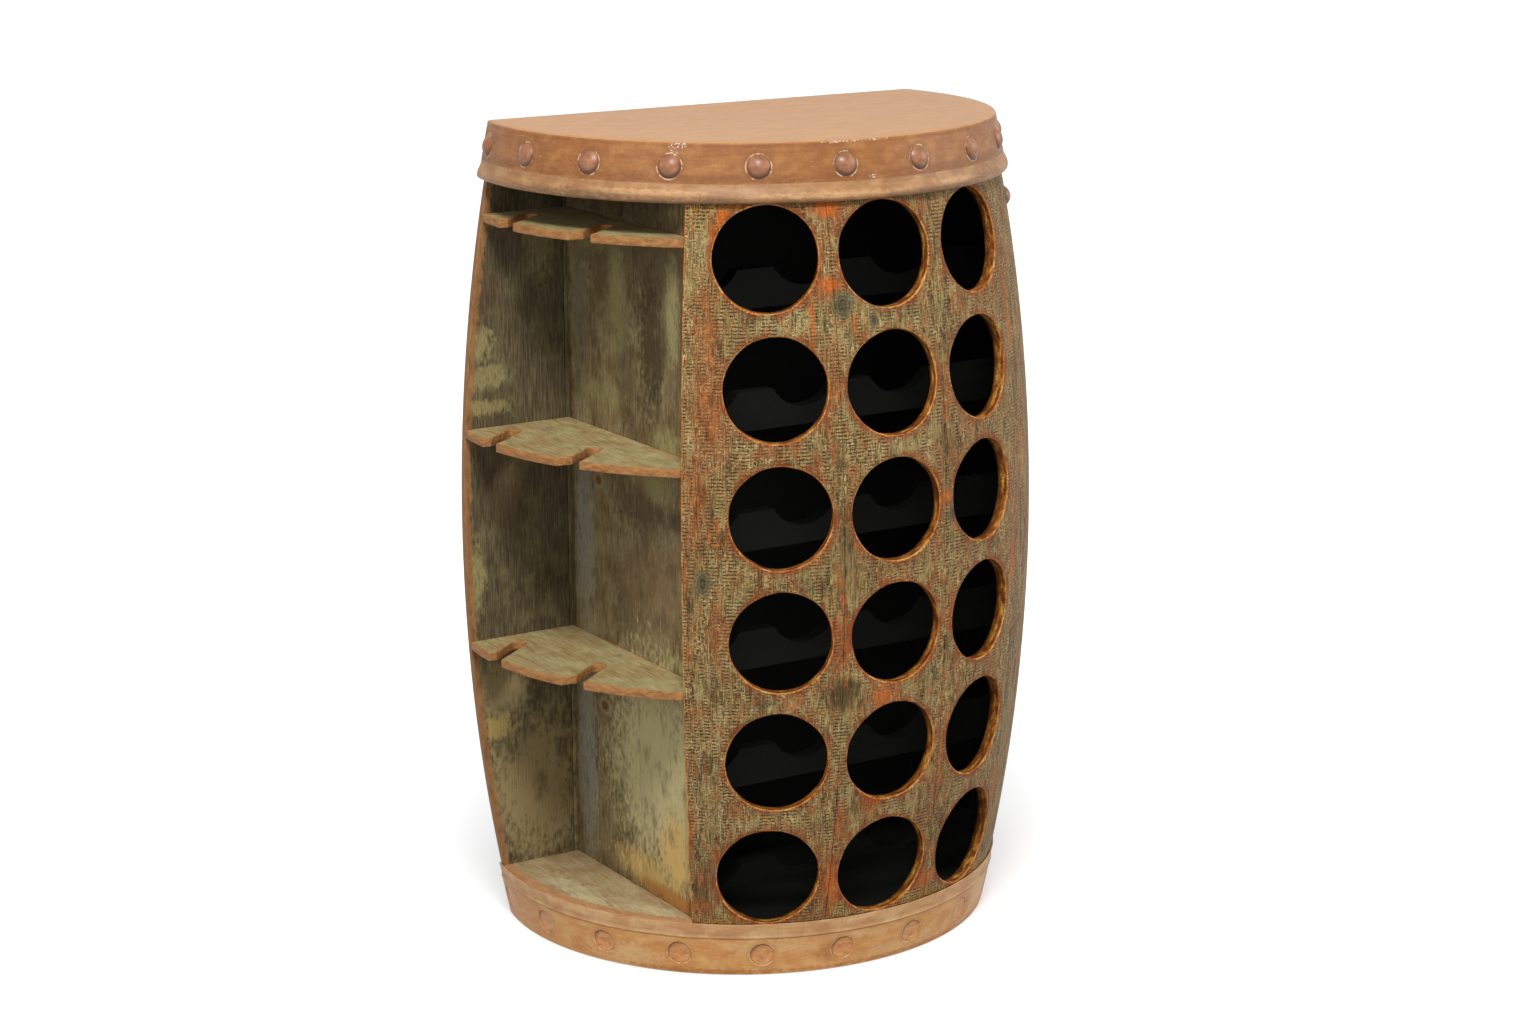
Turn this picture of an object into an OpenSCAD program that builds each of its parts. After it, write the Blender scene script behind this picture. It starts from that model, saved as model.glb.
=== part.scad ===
// Half-barrel bar cabinet: eighteen bottle holes in the curved front, glass racks in the open left side.
// Frame: origin on the floor under the middle of the bounding box, +Z up, the bottle front faces -Y.
// Every piece is drawn about the barrel's own axis and then moved to that frame by placed().

/* [Barrel] */
// Overall height
height = 800; // [760:10:860]
// Radius of the staves' outer face at the belly
belly_r = 288; // [280:1:300]
// How much smaller that radius is at either end
end_taper = 44; // [36:1:52]
// Distance from the barrel's axis back to the flat rear face
axis_to_rear = 62; // [50:1:75]
// Thickness of the bent staves
stave_t = 12; // [9:0.5:15]

/* [Top] */
// Thickness of the wooden top core
top_core_t = 30; // [24:1:36]
// Thickness of the cover sheet on the top
cover_t = 3; // [2:0.5:4]
// Radius of the cover's rounded rim
cover_rim_r = 6; // [4:0.5:6.5]
// How far the cover's skirt stands outside the staves
top_skirt_proud = 5.5; // [3:0.5:7]
// Height of the skirt and bead together
top_band_h = 55; // [50:1:60]
// Height of the bead under the skirt
top_bead_h = 18; // [14:1:20]
// How far the top bead stands outside the staves
top_bead_proud = 8; // [6:0.5:10]

/* [Base] */
// Height of the base band and bead, up to the floor board's face
base_h = 55; // [48:1:62]
// Thickness of the floor board
floor_t = 18; // [15:1:22]
// How far the base band stands outside the staves
base_band_proud = 2; // [2:0.5:4]
// Height of the bead on the base band
base_bead_h = 16; // [12:1:18]
// How far the nose of the base bead stands outside the staves
base_bead_proud = 4; // [4:0.5:7]
// Thickness of the curved rails inside the base and the top
rail_t = 20; // [16:1:24]

/* [Bottle holes] */
// Diameter of each bottle hole
hole_d = 97; // [88:1:100]
// Spacing of the hole columns
column_pitch = 113; // [108:1:116]
// Sideways position of the middle column
column_mid_x = -4; // [-6:1:4]
// From the floor board up to the middle of the lowest holes
lowest_row_rise = 50; // [49:1:56]
// From the top core down to the middle of the highest holes
highest_row_drop = 72; // [60:1:76]
// Angle from the front's middle to either edge of the bottle front
front_angle = 42.5; // [41:0.5:45]

/* [Glass racks] */
// Where the divider between glasses and bottles stands, as a share of the belly radius
divider_share = 0.5764; // [0.565:0.0057:0.588]
// Thickness of the divider boards
divider_t = 9; // [6:0.5:10]
// Thickness of each glass shelf
shelf_t = 8; // [6:0.5:12]
// Place of the lower shelf, as a share of the height between floor board and top core
lower_shelf_share = 0.334; // [0.3:0.002:0.36]
// Place of the middle shelf, as the same kind of share
middle_shelf_share = 0.632; // [0.6:0.002:0.66]
// From the top core down to the upper shelf's top face
upper_shelf_drop = 54; // [47:1:67]
// Width of a stem slot
slot_w = 14; // [10:1:18]
// Length of a stem slot, as a share of the shelf's depth at the belly
slot_share = 0.475; // [0.37:0.005:0.53]

/* [Rear] */
// Thickness of the rear boards
rear_t = 12; // [9:0.5:15]
// Width of each of the three middle rear boards
rear_board_w = 113; // [108:1:118]
// Thickness of the dark lining behind the bottles
lining_t = 3; // [2:0.5:4]
// Thickness of the cradle rails under the bottles
cradle_t = 15; // [12:1:20]
// Diameter of the largest bottle that the cradles take
bottle_d = 82; // [76:1:84]

/* [Fasteners] */
// Diameter of the domed rivets
rivet_d = 21.5; // [18:0.5:24]
// Height of a rivet's dome
rivet_dome_h = 5; // [4:0.5:6]
// Number of rivets on each band
rivet_count = 12; // [10:1:14]
// Diameter of the rivets sunk in the base band
base_rivet_d = 20.5; // [16:0.5:22]
// Height of their low domes above the rail
base_rivet_h = 1.6; // [1:0.2:1.6]
// Diameter of the screw heads in the rear boards
screw_head_d = 8.5; // [7:0.5:10]

/* [Hidden] */
// Clearances between pieces
curved_gap = 0.3;
seam_gap = 0.3;
bore_gap = 0.2;
base_rivet_gap = 1;

// Thickness of the top bead at its upper and lower edges, outside the staves' radius at mid height
bead_edge_t = 3;

// Nose of the base bead: how far it is above the bead's lower face, and how much it falls back from there
bead_nose_z = 1.5;
bead_nose_fall = 0.5;
bead_nose_h = 3.5;
bead_upper_proud = 1.2;

// Resolution of turned shapes and of the long bow of the staves
turn_fn = 120;
bow_fn = 720;
fine_fn = 48;

// Bow of the staves: one circular arc from end to end
bow_r = (pow(height / 2, 2) + pow(end_taper, 2)) / (2 * end_taper);
bow_x = belly_r - bow_r;
function stave_r(z, proud = 0) = bow_x + sqrt(pow(bow_r + proud, 2) - pow(z - height / 2, 2));
function lean(z, proud = 0) = asin((z - height / 2) / (bow_r + proud));

// Where a bottle laid straight back passes the middle of the stave it goes through
function passage_x(x, z) = x * (stave_r(z) - stave_t / 2) / stave_r(z);

// Levels and planes; reach lies well outside every piece
reach = 1.2 * belly_r;
rear_y = axis_to_rear;
inner_rear_y = rear_y - rear_t;
core_z0 = height - cover_t - top_core_t;
core_z1 = height - cover_t;
top_band_z = height - top_band_h;
skirt_z = top_band_z + top_bead_h;
floor_z = base_h;
floor_z0 = floor_z - floor_t;
base_bead_z = base_h - base_bead_h;
open_h = core_z0 - floor_z;
lower_shelf_z = floor_z + lower_shelf_share * open_h;
middle_shelf_z = floor_z + middle_shelf_share * open_h;
upper_shelf_z = core_z0 - upper_shelf_drop;
stave_end_angle = 90 + asin(inner_rear_y / stave_r(height));

// Placing of the barrel's axis so that the bounding box is centred on the origin;
// the closed right side reaches the belly, the open left side only as far as its middle shelf
axis_x = (stave_r(middle_shelf_z) - belly_r) / 2;
axis_y = (belly_r - axis_to_rear) / 2;

// Rivets are evenly spaced on each band, the end ones just in front of the rear boards
rivet_band_z = 22;
rivet_rear_gap = 15.7;
rivet_end_angle = 90 + asin((rear_y - rivet_rear_gap) / stave_r(rivet_band_z));
rivet_step = 2 * rivet_end_angle / (rivet_count - 1);
rivet_shank_d = 5;
rivet_shank_l = 22;
base_shank_l = 18;
side_rivet_drop = 29;
side_rivet_z = top_band_z - side_rivet_drop;
side_angle_mid = (front_angle + stave_end_angle) / 2;

// Bottle holes
column_x = [for (i = [-1:1]) column_mid_x + i * column_pitch];
row_count = 6;
lowest_row_z = floor_z + lowest_row_rise;
row_pitch = (core_z0 - highest_row_drop - lowest_row_z) / (row_count - 1);
row_z = [for (i = [0:row_count - 1]) lowest_row_z + i * row_pitch];
seam_x = [column_mid_x - column_pitch / 2, column_mid_x + column_pitch / 2];

// Cradle rails carry the bottles' bases level with the holes' lower rims
cradle_r = bottle_d / 2;
cradle_y = -125;
cradle_foot = 18;
cradle_lip = 20;

// Left face of the divider, and where its boards meet from front to rear, seen from the left
divider_x = -divider_share * belly_r;
divider_board_w = 0.295 * belly_r;
divider_first_seam = 5;
divider_seams = [for (i = [0:2]) divider_first_seam - i * divider_board_w];

// Glass slots: length, where each starts on the rim (angle about the axis) and its heading in plan
slot_len = slot_share * (belly_r + divider_x);
slot_angles = [-87.5, -64.5];
slot_heading = 38;
slot_chamfer = 16;
shelf_zs = [lower_shelf_z, middle_shelf_z, upper_shelf_z];

// Rear boards: x of their seams
rear_seams = [for (i = [-1.5:1:1.5]) i * rear_board_w];

// Rear screws
screw_shank_d = 4;
screw_len = 38;
screw_head_l = 3;
screw_inset = 22;

// Base battens under the floor board
batten_w = 40;
batten_x = 110;

// ---- helpers ----

module placed() {
  translate([axis_x, axis_y, 0]) children();
}

// Solid of revolution that follows the staves' bow, proud mm outside their outer face
module turned(proud, z0, z1) {
  rotate_extrude($fn = turn_fn)
    intersection() {
      translate([bow_x, height / 2]) circle(r = bow_r + proud, $fn = bow_fn);
      translate([0, z0]) square([reach, z1 - z0]);
    }
}

// Everything in front of the plane y = back
module before(back) {
  intersection() {
    children();
    translate([-reach, -reach, -1]) cube([2 * reach, reach + back, height + 2]);
  }
}

// Upright slab between x0 and x1 and between y0 and y1
module slab(x0, x1, y0, y1, z0, z1) {
  translate([x0, y0, z0]) cube([x1 - x0, y1 - y0, z1 - z0]);
}

// Plan wedge about the axis from angle a0 to a1 (0 is the front, + towards +X), less than 180 degrees wide
module wedge(a0, a1, z0, z1) {
  mid = (a0 + a1) / 2;
  far = 4 * reach;
  translate([0, 0, z0])
    linear_extrude(z1 - z0)
      polygon([
        [0, 0],
        far * [sin(a0), -cos(a0)],
        far * [sin(mid), -cos(mid)],
        far * [sin(a1), -cos(a1)]
      ]);
}

// Local frame on the staves' face: +Z points out along the normal
module on_face(angle, z, proud) {
  rotate([0, 0, angle])
    translate([0, -stave_r(z, proud), z])
      rotate([90 - lean(z, proud), 0, 0])
        children();
}

module stave_shell(z0, z1) {
  difference() {
    turned(0, z0, z1);
    turned(-stave_t, z0 - 1, z1 + 1);
  }
}

// Curved rail just inside the bands
module inner_rail(z0, z1) {
  difference() {
    turned(0, z0, z1);
    turned(-rail_t, z0 - 1, z1 + 1);
  }
}

// Hoop turned from the profile given as its child; each end is square to the hoop and its outer edge,
// outer_r from the axis, just reaches the rear face
module hoop(outer_r) {
  end_angle = 90 + asin(rear_y / outer_r);
  rotate([0, 0, -90 - end_angle])
    rotate_extrude(angle = 2 * end_angle, $fn = turn_fn)
      children();
}

module rivet(d, dome_h, shank_d, shank_l) {
  ball_r = (d * d / 4 + dome_h * dome_h) / (2 * dome_h);
  intersection() {
    translate([0, 0, dome_h - ball_r]) sphere(r = ball_r, $fn = 96);
    cylinder(d = d + 1, h = dome_h + 1, $fn = fine_fn);
  }
  translate([0, 0, -shank_l]) cylinder(d = shank_d, h = shank_l + 0.5, $fn = fine_fn);
}

// One frame per rivet of a band, on the face proud mm outside the staves
module band_rivet_frames(z, proud) {
  for (i = [0:rivet_count - 1])
    on_face(-rivet_end_angle + i * rivet_step, z, proud) children();
}

module shank_bore(shank_l) {
  translate([0, 0, -shank_l - 1])
    cylinder(d = rivet_shank_d + 2 * bore_gap, h = shank_l + 6, $fn = fine_fn);
}

// ---- top ----

top_rivet_z = height - rivet_band_z;

// Area cut off the cover's profile to round its rim; the arc is tangent to the top and to the skirt
module rim_corner() {
  r = bow_r + top_skirt_proud - cover_rim_r;
  a = asin((height / 2 - cover_rim_r) / r);
  far = 2 * cover_rim_r;
  translate([bow_x + r * cos(a), height - cover_rim_r])
    difference() {
      polygon([[0, 0], far * [cos(a), sin(a)], [far, far], [0, far]]);
      circle(r = cover_rim_r, $fn = fine_fn);
    }
}

module top_cover() {
  color("#b98a62")
    placed()
      difference() {
        before(rear_y)
          rotate_extrude($fn = turn_fn)
            difference() {
              intersection() {
                translate([bow_x, height / 2]) circle(r = bow_r + top_skirt_proud, $fn = bow_fn);
                translate([0, skirt_z]) square([reach, height - skirt_z]);
              }
              rim_corner();
            }
        turned(curved_gap, skirt_z - 1, core_z1);
        band_rivet_frames(top_rivet_z, top_skirt_proud) shank_bore(rivet_shank_l);
      }
}

module top_core() {
  color("#7c6444")
    placed()
      difference() {
        before(inner_rear_y) turned(0, core_z0, core_z1);
        band_rivet_frames(top_rivet_z, top_skirt_proud) shank_bore(rivet_shank_l);
        screw_bores();
      }
}

module top_rail() {
  color("#5f5038")
    placed()
      before(inner_rear_y)
        intersection() {
          inner_rail(top_band_z, core_z0);
          wedge(-stave_end_angle - front_angle, -front_angle, top_band_z - 1, core_z0 + 1);
          slab(-reach, divider_x, -reach, reach, top_band_z, core_z0);
        }
}

// Rounded outside, thin at its two edges and top_bead_proud mm outside the staves halfway up
module top_bead() {
  half = top_bead_h / 2;
  mid = top_band_z + half;
  sag = top_bead_proud - bead_edge_t;
  arc_r = (half * half + sag * sag) / (2 * sag);
  outer_r = stave_r(mid) + top_bead_proud;
  color("#a57a56")
    placed()
      hoop(outer_r)
        intersection() {
          translate([outer_r - arc_r, mid]) circle(r = arc_r, $fn = 96);
          polygon([
            [stave_r(top_band_z) + curved_gap, top_band_z],
            [outer_r + top_bead_proud, top_band_z],
            [outer_r + top_bead_proud, skirt_z],
            [stave_r(skirt_z) + curved_gap, skirt_z]
          ]);
        }
}

module top_rivets() {
  color("#a8663f")
    placed()
      band_rivet_frames(top_rivet_z, top_skirt_proud)
        rivet(rivet_d, rivet_dome_h, rivet_shank_d, rivet_shank_l);
}

// ---- base ----

module base_band() {
  color("#a9744d")
    placed()
      difference() {
        before(rear_y) turned(base_band_proud, 0, base_bead_z);
        turned(curved_gap, -1, base_bead_z + 1);
        band_rivet_frames(rivet_band_z, 0)
          translate([0, 0, -rail_t / 4])
            cylinder(d = base_rivet_d + 2 * base_rivet_gap, h = rail_t, $fn = fine_fn);
      }
}

// Blunt nose just above the band, from which the outside slopes back up to the floor board's face
module base_bead() {
  nose_z = base_bead_z + bead_nose_z;
  nose_r = stave_r(nose_z) + base_bead_proud;
  color("#a87b56")
    placed()
      hoop(nose_r)
        polygon([
          [stave_r(base_bead_z) + curved_gap, base_bead_z],
          [nose_r - bead_nose_fall, base_bead_z],
          [nose_r, nose_z],
          [nose_r - bead_nose_fall, nose_z + bead_nose_h],
          [stave_r(floor_z) + bead_upper_proud, floor_z],
          [stave_r(floor_z) + curved_gap, floor_z]
        ]);
}

module base_rail() {
  color("#5f5038")
    placed()
      difference() {
        before(inner_rear_y) inner_rail(0, floor_z0);
        band_rivet_frames(rivet_band_z, 0) shank_bore(base_shank_l);
      }
}

module base_batten(x) {
  color("#5f5038")
    placed()
      before(inner_rear_y)
        intersection() {
          turned(-rail_t - curved_gap, 0, floor_z0);
          slab(x - batten_w / 2, x + batten_w / 2, -reach, reach, 0, floor_z0);
        }
}

// Low domes lying on the rail, in the band's round holes
module base_rivets() {
  color("#a8663f")
    placed()
      band_rivet_frames(rivet_band_z, 0)
        rivet(base_rivet_d, base_rivet_h, rivet_shank_d, base_shank_l);
}

module floor_board() {
  color("#8f8458")
    placed()
      difference() {
        before(inner_rear_y) turned(0, floor_z0, floor_z);
        screw_bores();
      }
}

// ---- rear ----

// Centres of the two screws at each end of a rear board
function board_edges(i) = [
  i == 0 ? -sqrt(pow(stave_r(height), 2) - pow(rear_y, 2)) : rear_seams[i - 1],
  i == 4 ? sqrt(pow(stave_r(height), 2) - pow(rear_y, 2)) : rear_seams[i]
];
screw_xs = [for (i = [0:4]) each [board_edges(i)[0] + screw_inset, board_edges(i)[1] - screw_inset]];
screw_points = [
  for (x = screw_xs, z = [core_z0 + top_core_t / 2, floor_z - floor_t / 2]) [x, z],
  for (x = [screw_xs[0], screw_xs[1]], z = shelf_zs) [x, z - shelf_t / 2]
];

module screw_bores() {
  for (p = screw_points)
    translate([p[0], rear_y + 1, p[1]])
      rotate([90, 0, 0])
        cylinder(d = screw_shank_d + 2 * bore_gap, h = screw_len + 2, $fn = fine_fn);
}

module rear_screws() {
  color("#8d8a82")
    placed()
      for (p = screw_points)
        translate([p[0], rear_y, p[1]])
          rotate([90, 0, 0]) {
            cylinder(d = screw_head_d, h = screw_head_l, $fn = fine_fn);
            cylinder(d = screw_shank_d, h = screw_len, $fn = fine_fn);
          }
}

module rear_board(i) {
  x0 = i == 0 ? -reach : rear_seams[i - 1] + seam_gap;
  x1 = i == 4 ? reach : rear_seams[i] - seam_gap;
  color("#6e6244")
    placed()
      difference() {
        intersection() {
          turned(0, 0, core_z1);
          slab(x0, x1, inner_rear_y, rear_y, 0, core_z1);
        }
        screw_bores();
        for (p = screw_points)
          translate([p[0], rear_y + 1, p[1]])
            rotate([90, 0, 0])
              cylinder(d = screw_head_d + 2 * bore_gap, h = screw_head_l + 1 + bore_gap, $fn = fine_fn);
      }
}

// ---- bottle front and right side ----

// Round hole, drilled square to the staves in plan, for the bottle at column x and row z
module bottle_hole(x, z) {
  translate([0, 0, z])
    rotate([0, 0, asin(x / stave_r(z))])
      translate([0, -belly_r + end_taper + 3 * stave_t, 0])
        rotate([90, 0, 0])
          cylinder(d = hole_d, h = end_taper + 6 * stave_t, $fn = 96);
}

// i is 0 for the left stave, 1 for the middle and 2 for the right
module bottle_stave(i) {
  x0 = i == 0 ? -reach : seam_x[i - 1] + seam_gap;
  x1 = i == 2 ? reach : seam_x[i] - seam_gap;
  color("#84714a")
    placed()
      difference() {
        intersection() {
          stave_shell(floor_z, core_z0);
          wedge(-front_angle, front_angle, floor_z - 1, core_z0 + 1);
          slab(x0, x1, -reach, 0, floor_z, core_z0);
        }
        for (z = row_z) bottle_hole(column_x[i], z);
      }
}

// i is 0 for the front one and 1 for the one against the rear boards
module side_stave(i) {
  seam_a = atan(seam_gap / belly_r);
  a0 = (i == 0 ? front_angle : side_angle_mid) + seam_a;
  a1 = i == 0 ? side_angle_mid - seam_a : stave_end_angle + front_angle;
  color("#93704f")
    placed()
      difference() {
        before(inner_rear_y)
          intersection() {
            stave_shell(floor_z, core_z0);
            wedge(a0, a1, floor_z - 1, core_z0 + 1);
          }
        side_rivet_frames()
          translate([0, 0, -2 * stave_t])
            cylinder(d = rivet_shank_d + 2 * bore_gap, h = 3 * stave_t, $fn = fine_fn);
      }
}

module side_rivet_frames() {
  for (a = [(front_angle + side_angle_mid) / 2, (side_angle_mid + stave_end_angle) / 2])
    on_face(a, side_rivet_z, 0) children();
}

module side_rivets() {
  color("#a8663f")
    placed()
      side_rivet_frames()
        rivet(rivet_d - 3, rivet_dome_h, rivet_shank_d, stave_t);
}

// ---- divider and glass shelves ----

// i counts from the rear; each board ends against the left bottle stave or the next board
module divider_board(i) {
  y0 = i == 3 ? -reach : divider_seams[i] + seam_gap;
  y1 = i == 0 ? inner_rear_y : divider_seams[i - 1] - seam_gap;
  color("#807650")
    placed()
      intersection() {
        turned(-stave_t - curved_gap, floor_z, core_z0);
        slab(divider_x, divider_x + divider_t, y0, y1, floor_z, core_z0);
      }
}

// Slot for a glass's stem: straight throat with a round end, and one corner of its mouth cut back
module stem_slot(angle, z) {
  r = stave_r(z);
  translate([r * sin(angle), -r * cos(angle), z - 2 * shelf_t])
    rotate([0, 0, slot_heading]) {
      translate([-slot_len, -slot_w / 2, 0]) cube([2 * slot_len - slot_w / 2, slot_w, 3 * shelf_t]);
      translate([slot_len - slot_w / 2, 0, 0]) cylinder(d = slot_w, h = 3 * shelf_t, $fn = fine_fn);
      linear_extrude(3 * shelf_t)
        polygon([
          [slot_chamfer, slot_w / 2 - 0.01],
          [-slot_len, slot_w / 2 - 0.01],
          [-slot_len, slot_w / 2 + slot_chamfer + slot_len]
        ]);
    }
}

module glass_shelf(z) {
  color("#9c7a4c")
    placed()
      difference() {
        before(inner_rear_y)
          intersection() {
            turned(0, z - shelf_t, z);
            slab(-reach, divider_x, -reach, reach, z - shelf_t, z);
          }
        difference() {
          wedge(-front_angle - atan(seam_gap / belly_r), front_angle, z - 2 * shelf_t, z + shelf_t);
          turned(-stave_t - curved_gap, z - 3 * shelf_t, z + 2 * shelf_t);
        }
        for (a = slot_angles) stem_slot(a, z);
        screw_bores();
      }
}

// ---- inside the bottle chamber ----

module chamber_lining() {
  color("#1d1b18")
    placed()
      intersection() {
        turned(-stave_t - curved_gap, floor_z, core_z0);
        slab(divider_x + divider_t, reach, inner_rear_y - lining_t, inner_rear_y, floor_z, core_z0);
      }
}

// Rail across the chamber with one hollow per bottle in row i; the lowest one stands on the floor board
module cradle_rail(i) {
  seat_z = row_z[i] - hole_d / 2;
  z0 = max(floor_z, seat_z - cradle_foot);
  z1 = seat_z + cradle_lip;
  color("#2b2722")
    placed()
      difference() {
        intersection() {
          turned(-stave_t - curved_gap, z0, z1);
          slab(divider_x + divider_t, reach, cradle_y, cradle_y + cradle_t, z0, z1);
        }
        for (x = column_x)
          translate([passage_x(x, row_z[i]), cradle_y + cradle_t + 1, seat_z + cradle_r])
            rotate([90, 0, 0])
              cylinder(r = cradle_r, h = cradle_t + 2, $fn = 96);
      }
}

top_cover();
top_core();
top_rail();
top_bead();
top_rivets();
base_band();
base_bead();
base_rail();
base_batten(-batten_x);  // base_batten_left
base_batten(batten_x);  // base_batten_right
base_rivets();
floor_board();
rear_board(0);  // rear_board_1
rear_board(1);  // rear_board_2
rear_board(2);  // rear_board_3
rear_board(3);  // rear_board_4
rear_board(4);  // rear_board_5
rear_screws();
bottle_stave(0);  // bottle_stave_left
bottle_stave(1);  // bottle_stave_middle
bottle_stave(2);  // bottle_stave_right
side_stave(0);  // side_stave_front
side_stave(1);  // side_stave_rear
side_rivets();
divider_board(0);  // divider_board_1
divider_board(1);  // divider_board_2
divider_board(2);  // divider_board_3
divider_board(3);  // divider_board_4
glass_shelf(lower_shelf_z);  // glass_shelf_lower
glass_shelf(middle_shelf_z);  // glass_shelf_middle
glass_shelf(upper_shelf_z);  // glass_shelf_upper
chamber_lining();
cradle_rail(0);  // cradle_rail_1
cradle_rail(1);  // cradle_rail_2
cradle_rail(2);  // cradle_rail_3
cradle_rail(3);  // cradle_rail_4
cradle_rail(4);  // cradle_rail_5
cradle_rail(5);  // cradle_rail_6
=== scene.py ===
# %% [markdown]
# # A barrel bar cabinet
# This lesson dresses half a barrel that was made into a drinks cabinet. Its construction comes from a
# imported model, the frame, in which every board, stave and hoop is a node in its true place. Here we make
# the surfaces that a visitor sees: worn paint on wood, brushed copper paint on the hoops, and the small
# rounding that time gives to every edge. All sizes below are millimetres about the barrel's own axis.

import math

import bmesh
import bpy
from mathutils import Matrix, Vector


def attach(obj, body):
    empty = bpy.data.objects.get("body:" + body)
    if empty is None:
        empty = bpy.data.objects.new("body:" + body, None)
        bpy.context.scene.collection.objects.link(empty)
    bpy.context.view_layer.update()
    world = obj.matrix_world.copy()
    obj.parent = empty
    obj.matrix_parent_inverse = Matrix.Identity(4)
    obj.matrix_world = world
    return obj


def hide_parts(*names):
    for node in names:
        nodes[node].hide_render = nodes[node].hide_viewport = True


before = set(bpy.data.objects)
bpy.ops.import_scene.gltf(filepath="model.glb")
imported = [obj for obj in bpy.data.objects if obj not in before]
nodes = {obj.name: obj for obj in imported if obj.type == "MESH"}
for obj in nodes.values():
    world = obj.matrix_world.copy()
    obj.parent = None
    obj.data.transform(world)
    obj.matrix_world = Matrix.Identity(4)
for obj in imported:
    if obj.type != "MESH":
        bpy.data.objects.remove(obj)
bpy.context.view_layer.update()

# %% [markdown]
# ## The barrel's measures
# A cooper works from a few numbers: the height, the radius at the belly and how much the barrel narrows at
# its ends. One long circular arc joins them, so the radius at any height follows from Pythagoras. Every
# curved piece below asks `stave_r` where the face of the staves is. Names that end in `_z` are heights: the
# floor board's upper side, the lower edges of the skirt and of the bead below it, and the underside of the
# core board that the cover is pressed over.

# %% Measures shared by the pieces
height = 800.0
belly_r = 288.0
end_taper = 44.0
rear_y = 62.0
rear_t = 12.0
inner_rear_y = rear_y - rear_t
stave_t = 12.0
floor_z = 55.0
floor_t = 18.0
base_band_top = 39.0
core_z = 767.0
skirt_z = 763.0
top_band_z = 745.0
divider_x = -166.0
divider_t = 9.0
shelf_t = 8.0
shelf_levels = {"lower": 292.8, "middle": 505.0, "upper": 713.0}
hole_r = 48.5
column_x = [-117.0, -4.0, 109.0]
row_pitch = 118.0
row_z = [height / 2 + (i - 2.5) * row_pitch for i in range(6)]
front_angle = math.radians(42.5)
rivet_end = math.radians(100.7)
rivet_count = 12
rivet_step = 2 * rivet_end / (rivet_count - 1)
rivet_inset = 22.0
dome_r = 10.75
band_hole_r = 11.25

bow_r = ((height / 2) ** 2 + end_taper ** 2) / (2 * end_taper)


def stave_r(z, proud=0.0):
    """Radius of the staves' outer face at height z, or of a face that lies proud of it."""
    return belly_r - bow_r + math.sqrt((bow_r + proud) ** 2 - (z - height / 2) ** 2)


def proud_of(co):
    """How far a point lies outside the staves' face."""
    return math.hypot(co.x, co.y) - stave_r(co.z)


def on_barrel(angle, z, proud=0.0):
    """Point at an angle from the middle of the front, at a height, proud mm outside the staves."""
    r = stave_r(z) + proud
    return Vector((r * math.sin(angle), -r * math.cos(angle), z))


def rear_angle(z, y, proud=0.0):
    """Angle at which a face at this height meets the upright plane y."""
    return math.pi / 2 + math.asin(y / (stave_r(z) + proud))


axis_place = Vector(((stave_r(shelf_levels["middle"]) - belly_r) / 2, (belly_r - rear_y) / 2, 0.0))
print("staves: radius", round(stave_r(0), 1), "at the ends,", belly_r, "at the belly")

# %% [markdown]
# ## Colour and node helpers
# Paint colours are given as ordinary sRGB hex. Blender works in linear light, and one function converts
# them. A second function adds any shader node, sets its options and links or fills its inputs, so that a
# material reads from top to bottom like a recipe.

# %% Helpers for materials
def srgb(text, alpha=1.0):
    """Linear RGBA of a hex colour."""
    channels = [int(text[i:i + 2], 16) / 255 for i in (1, 3, 5)]
    return tuple(c / 12.92 if c <= 0.04045 else ((c + 0.055) / 1.055) ** 2.4 for c in channels) + (alpha,)


def add(tree, kind, inputs=None, out=0, stops=None, **options):
    """Adds a node, sets its options, fills or links its inputs, and returns the output wanted."""
    node = tree.nodes.new("ShaderNode" + kind)
    for name, value in options.items():
        setattr(node, name, value)
    if stops:
        ramp = node.color_ramp
        while len(ramp.elements) < len(stops):
            ramp.elements.new(0.5)
        for element, (place, colour) in zip(ramp.elements, stops):
            element.position = place
            element.color = srgb(colour)
    for key, value in (inputs or {}).items():
        socket = node.inputs[key]
        if isinstance(value, bpy.types.NodeSocket):
            tree.links.new(value, socket)
        elif isinstance(value, str):
            socket.default_value = srgb(value)
        else:
            socket.default_value = value
    return node.outputs[out]


def new_material(name):
    """Empty node material; returns the material and its tree."""
    material = bpy.data.materials.new(name)
    material.use_nodes = True
    tree = material.node_tree
    tree.nodes.clear()
    return material, tree


def finish_material(material, tree, **sockets):
    """Adds the surface shader with the given inputs and joins it to the output."""
    shader = add(tree, "BsdfPrincipled", {k.replace("_", " "): v for k, v in sockets.items()})
    output = tree.nodes.new("ShaderNodeOutputMaterial")
    tree.links.new(shader, output.inputs["Surface"])
    print(f"{material.name}: {len(tree.nodes)} nodes")
    return material


# %% [markdown]
# ## Patterns with real sizes
# Old paint is a sum of simple marks: blotches, streaks that follow the grain, and spots at places that we
# choose. Each mark gets its size in millimetres, because the grain coordinates are millimetres too. A
# blotch is stretched noise with its contrast raised, and a placed spot is a soft ellipse. Finishes are then
# read like a painter's notes: a ground colour, and coats over it that masks let through. Nodes that keep
# the shape of the frame have no grain attribute; they read Object coordinates, turned from metres to
# millimetres.

# %% Marks that every finish uses
def in_millimetres(tree):
    """Object coordinates in millimetres."""
    metres = add(tree, "TexCoord", out="Object")
    return add(tree, "VectorMath", {0: metres, 1: (1000.0, 1000.0, 1000.0)}, operation="MULTIPLY")


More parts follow.
